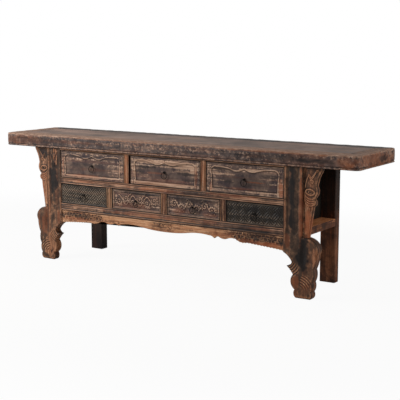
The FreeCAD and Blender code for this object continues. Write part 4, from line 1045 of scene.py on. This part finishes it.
def makeDividers():
    middleLow, middleHigh = boxOf("front_middle_rail")
    topLow = boxOf("front_top_rail")[0][2]
    bottomHigh = boxOf("front_bottom_rail")[1][2]
    for node, low, high in (("upper_dividers", middleHigh[2], topLow),
                            ("lower_dividers", bottomHigh, middleLow[2])):
        count = len(dividerFinish[node])
        nodeLow, nodeHigh = boxOf(node)
        half = moulding["dividerHalf"][node]
        for number, middle in enumerate(np.linspace(nodeLow[0] + half, nodeHigh[0] - half, count)):
            makeDivider(node, number, middle, half, low, high)


makeRails()
makeDividers()
print("rails and dividers moulded")


# Drawer fronts

arched = {"surround": 1.9, "rise": 1.2, "footHeight": 28, "footDepth": 0.6, "fieldDepth": 3.6, "stileTop": 30,
          "bead": (5, 3.6, 0.25), "groove": (11.5, 2.2, 2.6)}
leafed = {"border": 0.9, "fieldFrom": 11, "fieldDepth": 3.7, "rise": 3.3, "quirk": (8, 2, 1.4), "count": 6,
          "inset": 40, "bend": 34}
mat = {"cell": 40.0, "strips": 3, "depth": 3.0, "border": 0.5, "fieldFrom": 8, "quirk": (7, 1.6, 1.3)}
fronts = {
    # Look, grid steps, blur and slot of each kind of front
    "arched": ("carvedFront", (2.2, 1.9), 6, "drawer_front_wood"),
    "leafed": ("carvedFront", (1.9, 1.8), 6, "drawer_front_wood"),
    "mat": ("matFront", (1.5, 1.5), 4, "mat_wood"),
}


def quirkOf(edge, quirk):
    # A rounded groove at a place in from the edge
    place, half, depth = quirk
    return depth * ridge(np.abs(edge - place), half)


def archedStrokes(half, height):
    # Foliage in the corners above the arch, and a small ruyi head under the middle cusp
    strokes = []
    for side in (1, -1):
        turn = (lambda angle: angle) if side > 0 else (lambda angle: 180 - angle)
        for middleX, middleZ, radius, start, hand in (
                (half - 22, height - 22, 9, 200, 1), (half - 20, height * 0.55, 7, 90, -1),
                (half * 0.36, height - 20, 8, 0, 1), (half * 0.17, height - 17, 6, 180, -1)):
            middle = (side * middleX, middleZ)
            strokes += scroll(middle, radius, turn(start), side * hand, leafCount=4, thick=2.6)
        for rise in (0.32, 0.42, 0.68):
            strokes.append(leaf((side * (half - 20), height * rise), turn(80), 16, 3.4, side * 30))
        strokes.append(leaf((side * half * 0.5, height - 14), turn(170), 34, 3.2, side * 25))
        strokes.append(leaf((side * half * 0.6, height - 13), turn(5), 34, 3.2, -side * 20))
    return strokes + [ellipse((0, height * 0.9), 9, 6, 2.4)]


def leafedStrokes(half, height, lean):
    # A wave of scrolls from end to end of the field
    strokes = []
    middleZ = height / 2
    bend = leafed["bend"]
    last = leafed["count"] - 1
    for number in range(leafed["count"]):
        middleX = -half + leafed["inset"] + (2 * half - 2 * leafed["inset"]) * number / last
        hand = 1 if number % 2 else -1
        if abs(middleX) >= 22:
            strokes += scroll((middleX, middleZ + hand * 11.0 * lean), 23, 90 + hand * 80, hand * lean,
                              leafCount=7, thick=4.0, leafLength=0.75)
        if number == last:
            break
        middleX = -half + leafed["inset"] + (2 * half - 2 * leafed["inset"]) * (number + 0.5) / last
        strokes.append(swept([(middleX - 30, middleZ - hand * 30), (middleX - 10, middleZ - hand * bend),
                              (middleX + 10, middleZ + hand * bend), (middleX + 30, middleZ + hand * 30)],
                             (3.2, 3.2)))
        strokes.append(leaf((middleX, middleZ + hand * bend), 180 * (hand < 0) + 20, 26, 4.2, hand * 40))
    return strokes


def weave(u, v):
    # A plaited mat laid on the slant: bundles of three strips that pass over and under each other
    across = (u + v) / math.sqrt(2) / mat["cell"]
    along = (u - v) / math.sqrt(2) / mat["cell"]
    flip = (np.floor(across) + np.floor(along)) % 2 > 0.5
    lines = np.where(flip, across, along)
    crown = np.where(flip, along, across)
    groove = np.abs(((lines * mat["strips"]) % 1) - 0.5) * 2
    bend = np.sin(math.pi * (crown % 1))
    return 0.8 * groove ** 1.3 + 0.3 * (1 - bend ** 0.5)


drawerFinish = {
    "upper_drawer_left": {
        "sootAndShade": [
            (-690, 716, 110, 7, 0.4), (-755, 630, 90, 6, 0.5), (-560, 722, 120, 5, 0.4),
            (-420, 655, 24, 50, 0.3), (-640, 666, 130, 5, 0.55), (-600, 652, 200, 44, 0.35)],
        "warm": [(-640, 594, 180, 12, 0.4), (-822, 650, 10, 70, 0.5), (-560, 640, 120, 12, 0.25)],
        "bare": [
            (-600, 655, 210, 46, -0.35), (-640, 589, 190, 12, 0.3), (-380, 600, 60, 24, 0.2),
            (-824, 650, 10, 80, 0.4), (-700, 692, 90, 8, 0.3), (-560, 680, 90, 6, 0.35),
            (-345, 670, 24, 60, 0.15)],
    },
    "upper_drawer_middle": {
        "sootAndShade": [
            (-140, 690, 100, 12, 0.8), (170, 662, 90, 14, 0.8), (190, 630, 60, 14, 0.6),
            (60, 706, 140, 4, 0.4), (-190, 655, 30, 30, 0.5), (40, 632, 90, 5, 0.5), (0, 655, 190, 40, 0.15)],
        "warm": [(40, 614, 170, 8, 0.3), (-70, 655, 80, 9, 0.4), (236, 640, 14, 80, 0.4)],
        "bare": [
            (0, 650, 180, 46, -0.3), (0, 588, 250, 16, 0.8), (-232, 660, 14, 70, 0.5),
            (20, 668, 120, 7, 0.3), (0, 724, 250, 16, 1.0), (225, 700, 30, 40, 0.6),
            (-90, 640, 110, 6, 0.25)],
    },
    "upper_drawer_right": {
        "sootAndShade": [
            (420, 714, 110, 8, 0.7), (560, 664, 170, 12, 0.5), (740, 690, 70, 12, 0.6),
            (640, 632, 140, 6, 0.7), (470, 640, 50, 14, 0.6), (680, 602, 100, 4, 0.8),
            (580, 650, 210, 46, 0.42)],
        "warm": [
            (822, 620, 20, 60, 0.8), (650, 650, 60, 6, 0.8), (345, 610, 12, 40, 0.4),
            (560, 606, 120, 10, 0.3)],
        "bare": [
            (580, 650, 200, 46, -0.35), (815, 610, 26, 60, 0.5), (640, 722, 90, 9, 0.7),
            (540, 714, 110, 9, 0.5), (345, 600, 16, 24, 0.3)],
    },
    "lower_drawer_far_left": {
        "sootAndShade": [(-650, 512, 200, 12, 0.35), (-830, 460, 14, 50, 0.3)],
        "warm": [],
        "bare": [(-560, 450, 120, 50, 0.1)],
    },
    "lower_drawer_near_left": {
        "sootAndShade": [(-200, 512, 130, 14, 0.7), (-250, 440, 50, 20, 0.3)],
        "warm": [(-250, 430, 160, 24, 0.35)],
        "bare": [(-390, 470, 20, 50, 0.25), (-45, 460, 12, 50, 0.3), (-216, 465, 170, 44, -0.12)],
    },
    "lower_drawer_near_right": {
        "sootAndShade": [(230, 508, 170, 20, 0.8), (230, 455, 60, 30, 0.4)],
        "warm": [(120, 430, 70, 24, 0.35), (340, 425, 60, 20, 0.3)],
        "bare": [(390, 470, 12, 50, 0.3), (42, 470, 10, 50, 0.3), (230, 460, 170, 44, -0.22)],
    },
    "lower_drawer_far_right": {
        "sootAndShade": [(650, 465, 220, 70, 0.45)],
        "warm": [],
        "bare": [(650, 465, 200, 60, -0.15)],
    },
}


def makeFront(drawer):
    node = f"{drawer}_front"
    low, high = boxOf(node)
    middle = (low[0] + high[0]) / 2
    half = (high[0] - low[0]) / 2
    height = high[2] - low[2]
    seed = sum(map(ord, drawer))

    def archedRelief(u, v, edge):
        field = forwardRim(node, 2.5, 3.5)
        x = u + middle
        z = v + low[2]
        away = nearestOn(x, z, edgesOf(field))[0]
        away = np.where(insideLoop(x, z, field), -away, away)
        foot = smooth((arched["footHeight"] - v) / 4)
        leaves = strokeHeight(u, v, archedStrokes(half, height), full=2.6)
        surround = (arched["surround"] - arched["rise"] * leaves) * (1 - foot) + arched["footDepth"] * foot
        depth = np.where(away > 0, surround, arched["fieldDepth"])
        depth = depth + (arched["fieldDepth"] - depth) * smooth(1 - np.abs(away + 1.5) / 3) * (away < 1.5)
        fromStile = np.abs(u) - np.ptp(field[:, 0]) / 2
        beadPlace, beadHalf, beadDepth = arched["bead"]
        for place, shown in ((away, True), (fromStile, v < arched["stileTop"])):
            bead = ridge(np.abs(place - beadPlace), beadHalf) * shown
            depth = depth * (1 - bead) + beadDepth * bead
        return np.maximum(depth, quirkOf(fromStile, arched["groove"]))

    def leafedRelief(u, v, edge):
        inField = smooth((edge - leafed["fieldFrom"]) / 3)
        leaves = strokeHeight(u, v, leafedStrokes(half - 12, height, 1 if middle < 0 else -1))
        depth = leafed["border"] * (1 - inField) + (leafed["fieldDepth"] - leafed["rise"] * leaves) * inField
        return depth + quirkOf(edge, leafed["quirk"])

    def matRelief(u, v, edge):
        inField = smooth((edge - mat["fieldFrom"]) / 2)
        woven = 0.4 + mat["depth"] * weave(u, v)
        return mat["border"] * (1 - inField) + inField * woven + quirkOf(edge, mat["quirk"])

    kind = "arched" if drawer.startswith("upper") else "leafed" if "near" in drawer else "mat"
    reliefOf = {"arched": archedRelief, "leafed": leafedRelief, "mat": matRelief}[kind]
    look, steps, blurReach, slot = fronts[kind]

    def unevenRelief(x, z, edge):
        rimBead = 0.7 * ridge(np.abs(edge - 3.5), 3)
        depth = np.maximum(reliefOf(x - middle, z - low[2], edge) - rimBead, 0)
        return depth + 0.22 * waviness(x, z, 34, seed) + 0.2

    # The soot round the rim of each front is painted shade of the gap round the drawer
    carvedBoard(f"{drawer}_carved_front", node, rectangle((low[0], low[2]), (high[0], high[2])), unevenRelief,
                lambda x, z, edge: shadedAlongGap(stains(x, z, drawerFinish[drawer], seed), edge, 3.2),
                body=drawer, steps=steps, blur=blurReach, rounding=1.4, arrisReach=7, finish=wood[look],
                slot=slot)


drawers = sorted(drawerFinish)
for drawer in drawers:
    makeFront(drawer)
print("drawer fronts carved:", len(drawers))


# Top: four mitred members, their outer edge swept from a worn profile

topShape = {
    "arris": 5.0, "cornerRadius": 36.0, "quirkLow": 11.5, "quirkHigh": 15.5, "quirkDepth": 2.8, "step": 7.0,
    "overPanel": 12,
    # Chips in the lacquer: mean depth, waves of (share, length), their slope, limit and share of the depth
    "chip": 0.8, "chipWaves": ((0.8, 95), (0.6, 27)), "chipSlope": 1.6, "chipLimit": 3, "chipShare": 0.6,
    # Upright cracks towards the left end and round the right corner
    "crazedFrom": -800, "crazedFade": 160, "cornerFrom": 1180, "cornerFade": 60, "cracks": (0.9, 15),
    # Wear of the upper arris, and waves of the upper face
    "arrisWear": (1.1, 60), "arrisReach": 16, "arrisLimit": 2.4, "faceWaves": (0.25, 120), "faceDrop": 0.3,
}


def topProfile():
    # Rows of a member's section: ("top" or "under", share of the way from its inner edge to the arris), and
    # between them ("out", inward offset, height over the underside) down the outer edge, quirk and bead
    rows = [("top", share) for share in np.linspace(0, 1, 12, endpoint=False)]
    thick = boxOf("top_front_rail")[1][2] - slabLow
    arris = topShape["arris"]
    for angle in np.linspace(90, 0, 6):
        turn = math.radians(angle)
        rows.append(("out", arris - arris * math.cos(turn), thick - arris + arris * math.sin(turn)))
    for height in np.linspace(thick - arris, topShape["quirkHigh"], 16)[1:]:
        rows.append(("out", 0.0, height))
    rows.append(("out", topShape["quirkDepth"], topShape["quirkHigh"] - 1))
    rows.append(("out", topShape["quirkDepth"], topShape["quirkLow"] + 0.6))
    half = topShape["quirkLow"] / 2
    for angle in np.linspace(80, -90, 8):
        turn = math.radians(angle)
        rows.append(("out", half - half * math.cos(turn), half + half * math.sin(turn)))
    rows += [("under", share) for share in (0.66, 0.33, 0.0)]
    return rows, thick


def topStations(end):
    # Places along a member's outer edge: (outer place, outward direction, inner place)
    outer = np.array((boxOf("top_end_right")[1][0], boxOf("top_rear_rail")[1][1]))
    inner = boxOf("top_panel")[1][:2] - topShape["overPanel"]
    radius = topShape["cornerRadius"]
    stations = []

    def corner(signs, turns):
        for turn in turns:
            angle = math.radians(turn)
            out = signs * np.array((math.sin(angle), math.cos(angle)))
            stations.append((signs * (outer - radius) + radius * out, out, signs * inner))

    # Front and rear members run along x and the ends along y
    run = 0 if end in ("front", "rear") else 1
    sign = -1 if end in ("front", "left") else 1
    turns = np.linspace(45, 0, 5) if run == 0 else np.linspace(45, 90, 5)
    signs = np.array((-1, sign) if run == 0 else (sign, -1))
    corner(signs, turns)
    for along in np.arange(-(outer[run] - radius), outer[run] - radius, topShape["step"])[1:]:
        place = sign * outer
        out = np.array((float(sign), float(sign)))
        inside = sign * inner
        place[run] = along
        out[run] = 0.0
        inside[run] = np.clip(along, -inner[run], inner[run])
        stations.append((place, out, inside))
    signs[run] = 1
    corner(signs, turns[::-1])
    return stations


topFinish = {
    # Places are along the table and up its edge; those of the right end run from front to rear
    "long": {
        "sootAndShade": [
            (-1030, 808, 330, 28, 0.55), (-1150, 822, 110, 8, 0.75), (-940, 802, 90, 10, 0.7),
            (-560, 806, 140, 8, 0.4), (-330, 800, 80, 8, 0.3), (180, 802, 160, 6, 0.4),
            (560, 812, 130, 8, 0.5), (760, 806, 170, 10, 0.65), (1010, 806, 200, 16, 0.85),
            (430, 826, 60, 6, 0.4), (860, 812, 320, 26, 0.45)],
        "warm": [
            (1245, 806, 70, 40, 0.8), (760, 840, 420, 6, 0.8), (-1150, 810, 230, 34, 0.6),
            (-760, 812, 360, 12, 0.4), (-100, 776, 900, 6, 0.3), (300, 790, 200, 6, 0.3),
            (980, 830, 150, 6, 0.4), (-300, 842, 800, 4, 0.5), (1010, 802, 230, 34, 0.3)],
        "bare": [
            (1250, 806, 60, 40, 0.15), (-620, 776, 700, 5, 0.35), (100, 776, 500, 5, 0.3),
            (600, 776, 300, 5, 0.25), (-120, 812, 160, 12, 0.2), (-420, 818, 160, 8, 0.25),
            (280, 816, 160, 10, 0.25), (-1290, 806, 20, 36, 0.3)],
    },
    "right": {
        "sootAndShade": [(60, 806, 70, 22, 0.8), (-120, 790, 30, 12, 0.5)],
        "warm": [(-40, 806, 290, 50, 0.8)],
        "bare": [(-190, 806, 60, 40, 0.4), (170, 806, 80, 40, 0.3)],
    },
    "rear": {
        "sootAndShade": [],
        "warm": [],
        "bare": [],
    },
}
topMembers = {
    # Node, seed, how far the upper face is rubbed, what its places are measured along, finish and look
    "front": ("top_front_rail", 201, 0.75, 0, "long", "chippedEdge"),
    "rear": ("top_rear_rail", 211, 0.0, 0, "rear", "planedRearTop"),
    "left": ("top_end_left", 221, 0.55, 0, "long", "chippedEdge"),
    "right": ("top_end_right", 231, 0.45, 1, "right", "chippedEdge"),
}


def chippedPlace(outer, out, inset, height, thick, seed):
    # A point of the outer edge set in by chips and arris wear, with how raised it is and how near the arris
    shape = topShape
    walked = outer[0] + outer[1] * 0.7
    worn = shape["chip"]
    for at, (share, length) in enumerate(shape["chipWaves"]):
        worn = worn + share * waviness(walked, height * shape["chipSlope"], length, seed + at)
    crazed = (smooth((shape["crazedFrom"] - outer[0]) / shape["crazedFade"])
              + smooth((outer[0] - shape["cornerFrom"]) / shape["cornerFade"]))
    share, length = shape["cracks"]
    worn = worn + share * crazed * float(waviness(walked, height * 0.12, length, seed + 6))
    share, length = shape["arrisWear"]
    edgeWear = share + share * waviness(walked, 0, length, seed + 2)
    edgeWear = edgeWear * ridge(abs(height - thick), shape["arrisReach"])
    inset = inset + np.clip(worn, 0, shape["chipLimit"]) * shape["chipShare"]
    spot = outer - out * (inset + np.clip(edgeWear, 0, shape["arrisLimit"]))
    inBead = 0.35 * ridge(abs(height - shape["quirkLow"] / 2), 6)
    # The quirk gets a negative raise, so that grime and painted shade darken it
    groove = -0.5 * ridge(abs(height - shape["quirkHigh"] + 1.5), 3)
    raised = float(np.clip(0.5 - worn, -0.02, 0.5) + inBead + groove) if height < thick - 6 else 0.6
    drop = 0.8 * max(0.0, float(edgeWear) - 0.6) if height > thick - 8 else 0.0
    arris = float(smooth(1 - abs(height - thick + 2) / 13))
    return (spot[0], spot[1], slabLow + height - drop), raised, arris


def facePlace(outer, out, inner, kind, share, thick, seed):
    # A point of the upper face or the underside, with how raised it is and how near the arris
    spot = inner + (outer - out * topShape["arris"] - inner) * share
    if kind == "under":
        return (spot[0], spot[1], slabLow), 0.0, 0.0
    waver, length = topShape["faceWaves"]
    dip = max(0.0, waver * float(waviness(spot[0], spot[1], length, seed + 3)) + topShape["faceDrop"])
    return (spot[0], spot[1], slabLow + thick - dip), 0.0, float(smooth((share - 0.6) / 0.4))


def makeTopMember(end):
    node, seed, rubbed, axis, finish, look = topMembers[end]
    rows, thick = topProfile()
    stations = topStations(end)
    points = []
    for outer, out, inner in stations:
        for kind, *row in rows:
            if kind == "out":
                points.append(chippedPlace(outer, out, row[0], row[1], thick, seed))
            else:
                points.append(facePlace(outer, out, inner, kind, row[0], thick, seed))
    places, raised, arris = zip(*points)
    places = np.array(places)
    onTop = places[:, 2] > slabLow + thick - 4
    fields = {field: values * ~onTop for field, values in
              stains(places[:, axis], places[:, 2], topFinish[finish], seed).items()}
    fields["bare"] = fields["bare"] + rubbed * onTop
    makePiece(f"worn_top_{end}", places, sweptFaces(len(stations), len(rows)),
              {"raised": raised, "arris": arris, **fields}, wood[look], "frame", "top_wood", node)


for end in topMembers:
    makeTopMember(end)
print("top edges worn")


# Ring pulls

pull = {
    "wireHalf": 2.3, "eyeReach": 4.4, "eyeWire": 1.7, "eyeGap": 28, "pinWire": 1.0, "boardBehind": 15,
    # The rosette: radius, profile of (share of the radius, stand off the board), and lobes
    "rosette": 9.0, "lobe": 0.06, "sides": 40,
    "profile": ((0.34, -2.3), (0.52, -2.4), (0.62, -1.7), (0.9, -1.5), (1.0, -0.8), (0.98, 0.0), (0.3, 0.0)),
}


def tube(path, halves, around=10, closed=False):
    # A tube round a path of points, as places and faces; it is left open only where it closes on itself
    path = np.asarray(path, float)
    count = len(path)
    places = []
    for at in range(count):
        before = path[at - 1] if closed or at else path[at]
        after = path[(at + 1) % count] if closed or at < count - 1 else path[at]
        run = Vector(after - before).normalized()
        side = Vector((1, 0, 0)) if abs(run.x) < 0.9 else Vector((0, 1, 0))
        first = run.cross(side).normalized() if abs(run.y) > 0.9 or not closed else Vector((0, 1, 0))
        second = run.cross(first).normalized()
        for number in range(around):
            angle = math.tau * number / around
            offset = first * math.cos(angle) + second * math.sin(angle)
            places.append(path[at] + halves[at] * np.array(offset))
    return places, sweptFaces(count, around, closed)


def rosettePlaces(middleX, front, middleZ):
    places = []
    for share, stand in pull["profile"]:
        for number in range(pull["sides"]):
            angle = math.tau * number / pull["sides"]
            lobe = 1 - pull["lobe"] * (1 - abs(math.cos(4 * angle))) if share > 0.6 else 1
            reach = pull["rosette"] * share * lobe
            x = middleX + reach * math.cos(angle)
            z = middleZ + reach * math.sin(angle)
            places.append((x, front + stand, z))
    return places


def makePull(drawer):
    low, high = boxOf(f"{drawer}_ring")
    middleX, middleY, middleZ = (low + high) / 2
    half = pull["wireHalf"]
    reach = (high[2] - low[2]) / 2 - half
    seed = sum(map(ord, drawer))
    angles = np.linspace(0, math.tau, 56, endpoint=False)
    ring = [(middleX + reach * math.sin(angle), middleY, middleZ + reach * math.cos(angle))
            for angle in angles]
    halves = half * (0.96 + 0.04 * waviness(angles * 9, angles * 0, 14, seed))
    places, faces = tube(ring, halves, 12, closed=True)
    name = f"{drawer}_ring"
    makePiece(f"{drawer}_forged_ring", places, faces, {}, iron, f"{drawer}_pull_ring", "pull_iron", name)

    # The eye is one wire: up through the board, round the ring and back, its ends bent over inside
    pullLow, pullHigh = boxOf(f"{drawer}_pull")
    pivot = middleZ + reach
    inside = pullHigh[1]
    pin = [(inside - 1.0, 16), (inside - 1.2, 4), (inside - 4, 1.2), (middleY + 8, 1.5)]
    wire = [(middleX, y, pivot + rise) for y, rise in pin]
    for angle in np.linspace(math.radians(pull["eyeGap"]), math.radians(360 - pull["eyeGap"]), 27):
        y = middleY + pull["eyeReach"] * math.cos(angle)
        wire.append((middleX, y, pivot + pull["eyeReach"] * math.sin(angle)))
    wire += [(middleX, y, pivot - rise) for y, rise in reversed(pin)]
    halves = [pull["pinWire"]] * len(pin)
    halves = halves + [pull["eyeWire"]] * (len(wire) - 2 * len(pin)) + halves
    places, faces = tube(wire, halves, 8)
    rosetteStart = len(places)
    places = places + rosettePlaces(middleX, pullLow[1] + pull["boardBehind"], pivot)
    for face in sweptFaces(len(pull["profile"]), pull["sides"], closed=True):
        faces.append([rosetteStart + corner for corner in face])
    makePiece(f"{drawer}_forged_pull", places, faces, {}, iron, drawer, "pull_iron", f"{drawer}_pull")


for drawer in drawers:
    makePull(drawer)
print("pulls forged")


# Boards that keep their shape: a finish, and edges eased as a plane leaves them

keptNodes = {
    "planedTop": ["top_panel"],
    "bareInner": ["top_battens", "drawer_runners"],
    "rearPostPaintedShade": ["rear_leg_left"],
    "stainedRearWithPaintedShade": ["rear_leg_right", "rear_rails", "back_panels"],
    "endPanelPaintedShade": ["side_panel_left", "side_panel_right"],
    "shelfRail": ["side_rails_left", "side_rails_right"],
}
easing = {"stout": 2.0, "thin": 0.8, "weld": 0.01}


def finishKept(node, finish):
    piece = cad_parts[node]
    piece.data.materials.clear()
    piece.data.materials.append(finish)
    weld = piece.modifiers.new("weld", "WELD")
    weld.merge_threshold = easing["weld"] * mm
    ease = piece.modifiers.new("ease", "BEVEL")
    ease.width = easing["stout" if "leg" in node or "side_rails" in node else "thin"] * mm
    ease.segments = 3
    ease.limit_method = "ANGLE"
    ease.angle_limit = sharpAngle


for drawer in drawers:
    keptNodes["bareInner"] += [f"{drawer}_walls", f"{drawer}_bottom"]
for look, nodes in keptNodes.items():
    for node in nodes:
        finishKept(node, wood[look])
print("kept nodes finished:", sum(map(len, keptNodes.values())))


# Floor, light and camera

def makeFloor():
    # Plain pale sweep: diffuse near the object so that it takes the shadow, plain white further out
    pale = {"reach": 40000, "near": 1500, "far": 3200, "squeeze": 0.62, "colour": "#bfbcb8", "lit": 0.94}
    mesh = bpy.data.meshes.new("floor")
    corners = rectangle((-pale["reach"] * mm, -pale["reach"] * mm), (pale["reach"] * mm, pale["reach"] * mm))
    mesh.from_pydata([(x, y, 0) for x, y in corners], [], [(0, 1, 2, 3)])
    floor = bpy.data.objects.new("floor", mesh)
    bpy.context.scene.collection.objects.link(floor)
    material, tree, place = newMaterial("paleSweep")
    squeezed = mapped(tree, place, (pale["squeeze"], 1.0, 1.0))
    away = addNode(tree, "ShaderNodeVectorMath", {0: squeezed}, operation="LENGTH").outputs["Value"]
    share = ranged(tree, away, (pale["near"] * mm, pale["far"] * mm), (pale["lit"], 1.0), "SMOOTHSTEP")
    seen = addNode(tree, "ShaderNodeLightPath").outputs["Is Camera Ray"]
    share = calculate(tree, "MULTIPLY", share, seen)
    matt = addNode(tree, "ShaderNodeBsdfPrincipled", {
        "Base Color": linear(pale["colour"]), "Roughness": 0.9, "Specular IOR Level": 0.1}).outputs[0]
    white = addNode(tree, "ShaderNodeEmission", {"Color": (1, 1, 1, 1), "Strength": 1.0}).outputs[0]
    mixed = addNode(tree, "ShaderNodeMixShader", {0: share, 1: matt, 2: white}).outputs[0]
    addNode(tree, "ShaderNodeOutputMaterial", {"Surface": mixed})
    mesh.materials.append(material)


def makeWorld():
    world = bpy.data.worlds.new("studio")
    bpy.context.scene.world = world
    world.use_nodes = True
    tree = world.node_tree
    tree.nodes.clear()
    seen = addNode(tree, "ShaderNodeLightPath").outputs["Is Camera Ray"]
    strength = ranged(tree, seen, target=(0.3, 1.0))
    backdrop = addNode(tree, "ShaderNodeBackground", {"Color": (1, 1, 1, 1), "Strength": strength}).outputs[0]
    addNode(tree, "ShaderNodeOutputWorld", {"Surface": backdrop})


lamps = {
    # Each lamp: place, what it points at, width, height, watts
    "key": ((-3.0, -2.8, 2.3), (-0.6, 0.0, 0.5), 2.0, 1.8, 170),
    "fill": ((3.6, -3.4, 1.8), (0.3, 0.0, 0.4), 2.4, 2.0, 26),
    "side": ((4.6, 0.6, 1.3), (1.1, 0.0, 0.5), 1.6, 1.4, 52),
    "overhead": ((-1.3, 0.4, 3.4), (-0.6, 0.0, 0.5), 2.8, 1.6, 27),
}


def aim(piece, place, target):
    piece.location = place
    piece.rotation_mode = "QUATERNION"
    piece.rotation_quaternion = (Vector(target) - Vector(place)).to_track_quat("-Z", "Y")
    bpy.context.scene.collection.objects.link(piece)


def makeLamps():
    for name, (place, target, width, height, watts) in lamps.items():
        lamp = bpy.data.lights.new(name, "AREA")
        lamp.shape = "RECTANGLE"
        lamp.size = width
        lamp.size_y = height
        lamp.energy = watts
        aim(bpy.data.objects.new(name, lamp), place, target)


def makeCamera():
    view = {"lens": 87.21, "sensor": 36.0, "distance": 6.151, "turn": 33.36, "rise": 9.10,
            "target": (0.1177, -0.0125, 0.4713)}
    turn = math.radians(view["turn"])
    rise = math.radians(view["rise"])
    back = Vector((math.sin(turn) * math.cos(rise), -math.cos(turn) * math.cos(rise), math.sin(rise)))
    data = bpy.data.cameras.new("camera")
    data.lens = view["lens"]
    data.sensor_width = view["sensor"]
    camera = bpy.data.objects.new("camera", data)
    aim(camera, Vector(view["target"]) + back * view["distance"], view["target"])
    bpy.context.scene.camera = camera


makeFloor()
makeWorld()
makeLamps()
makeCamera()
bpy.context.scene.view_settings.view_transform = "Standard"
print("stage set")
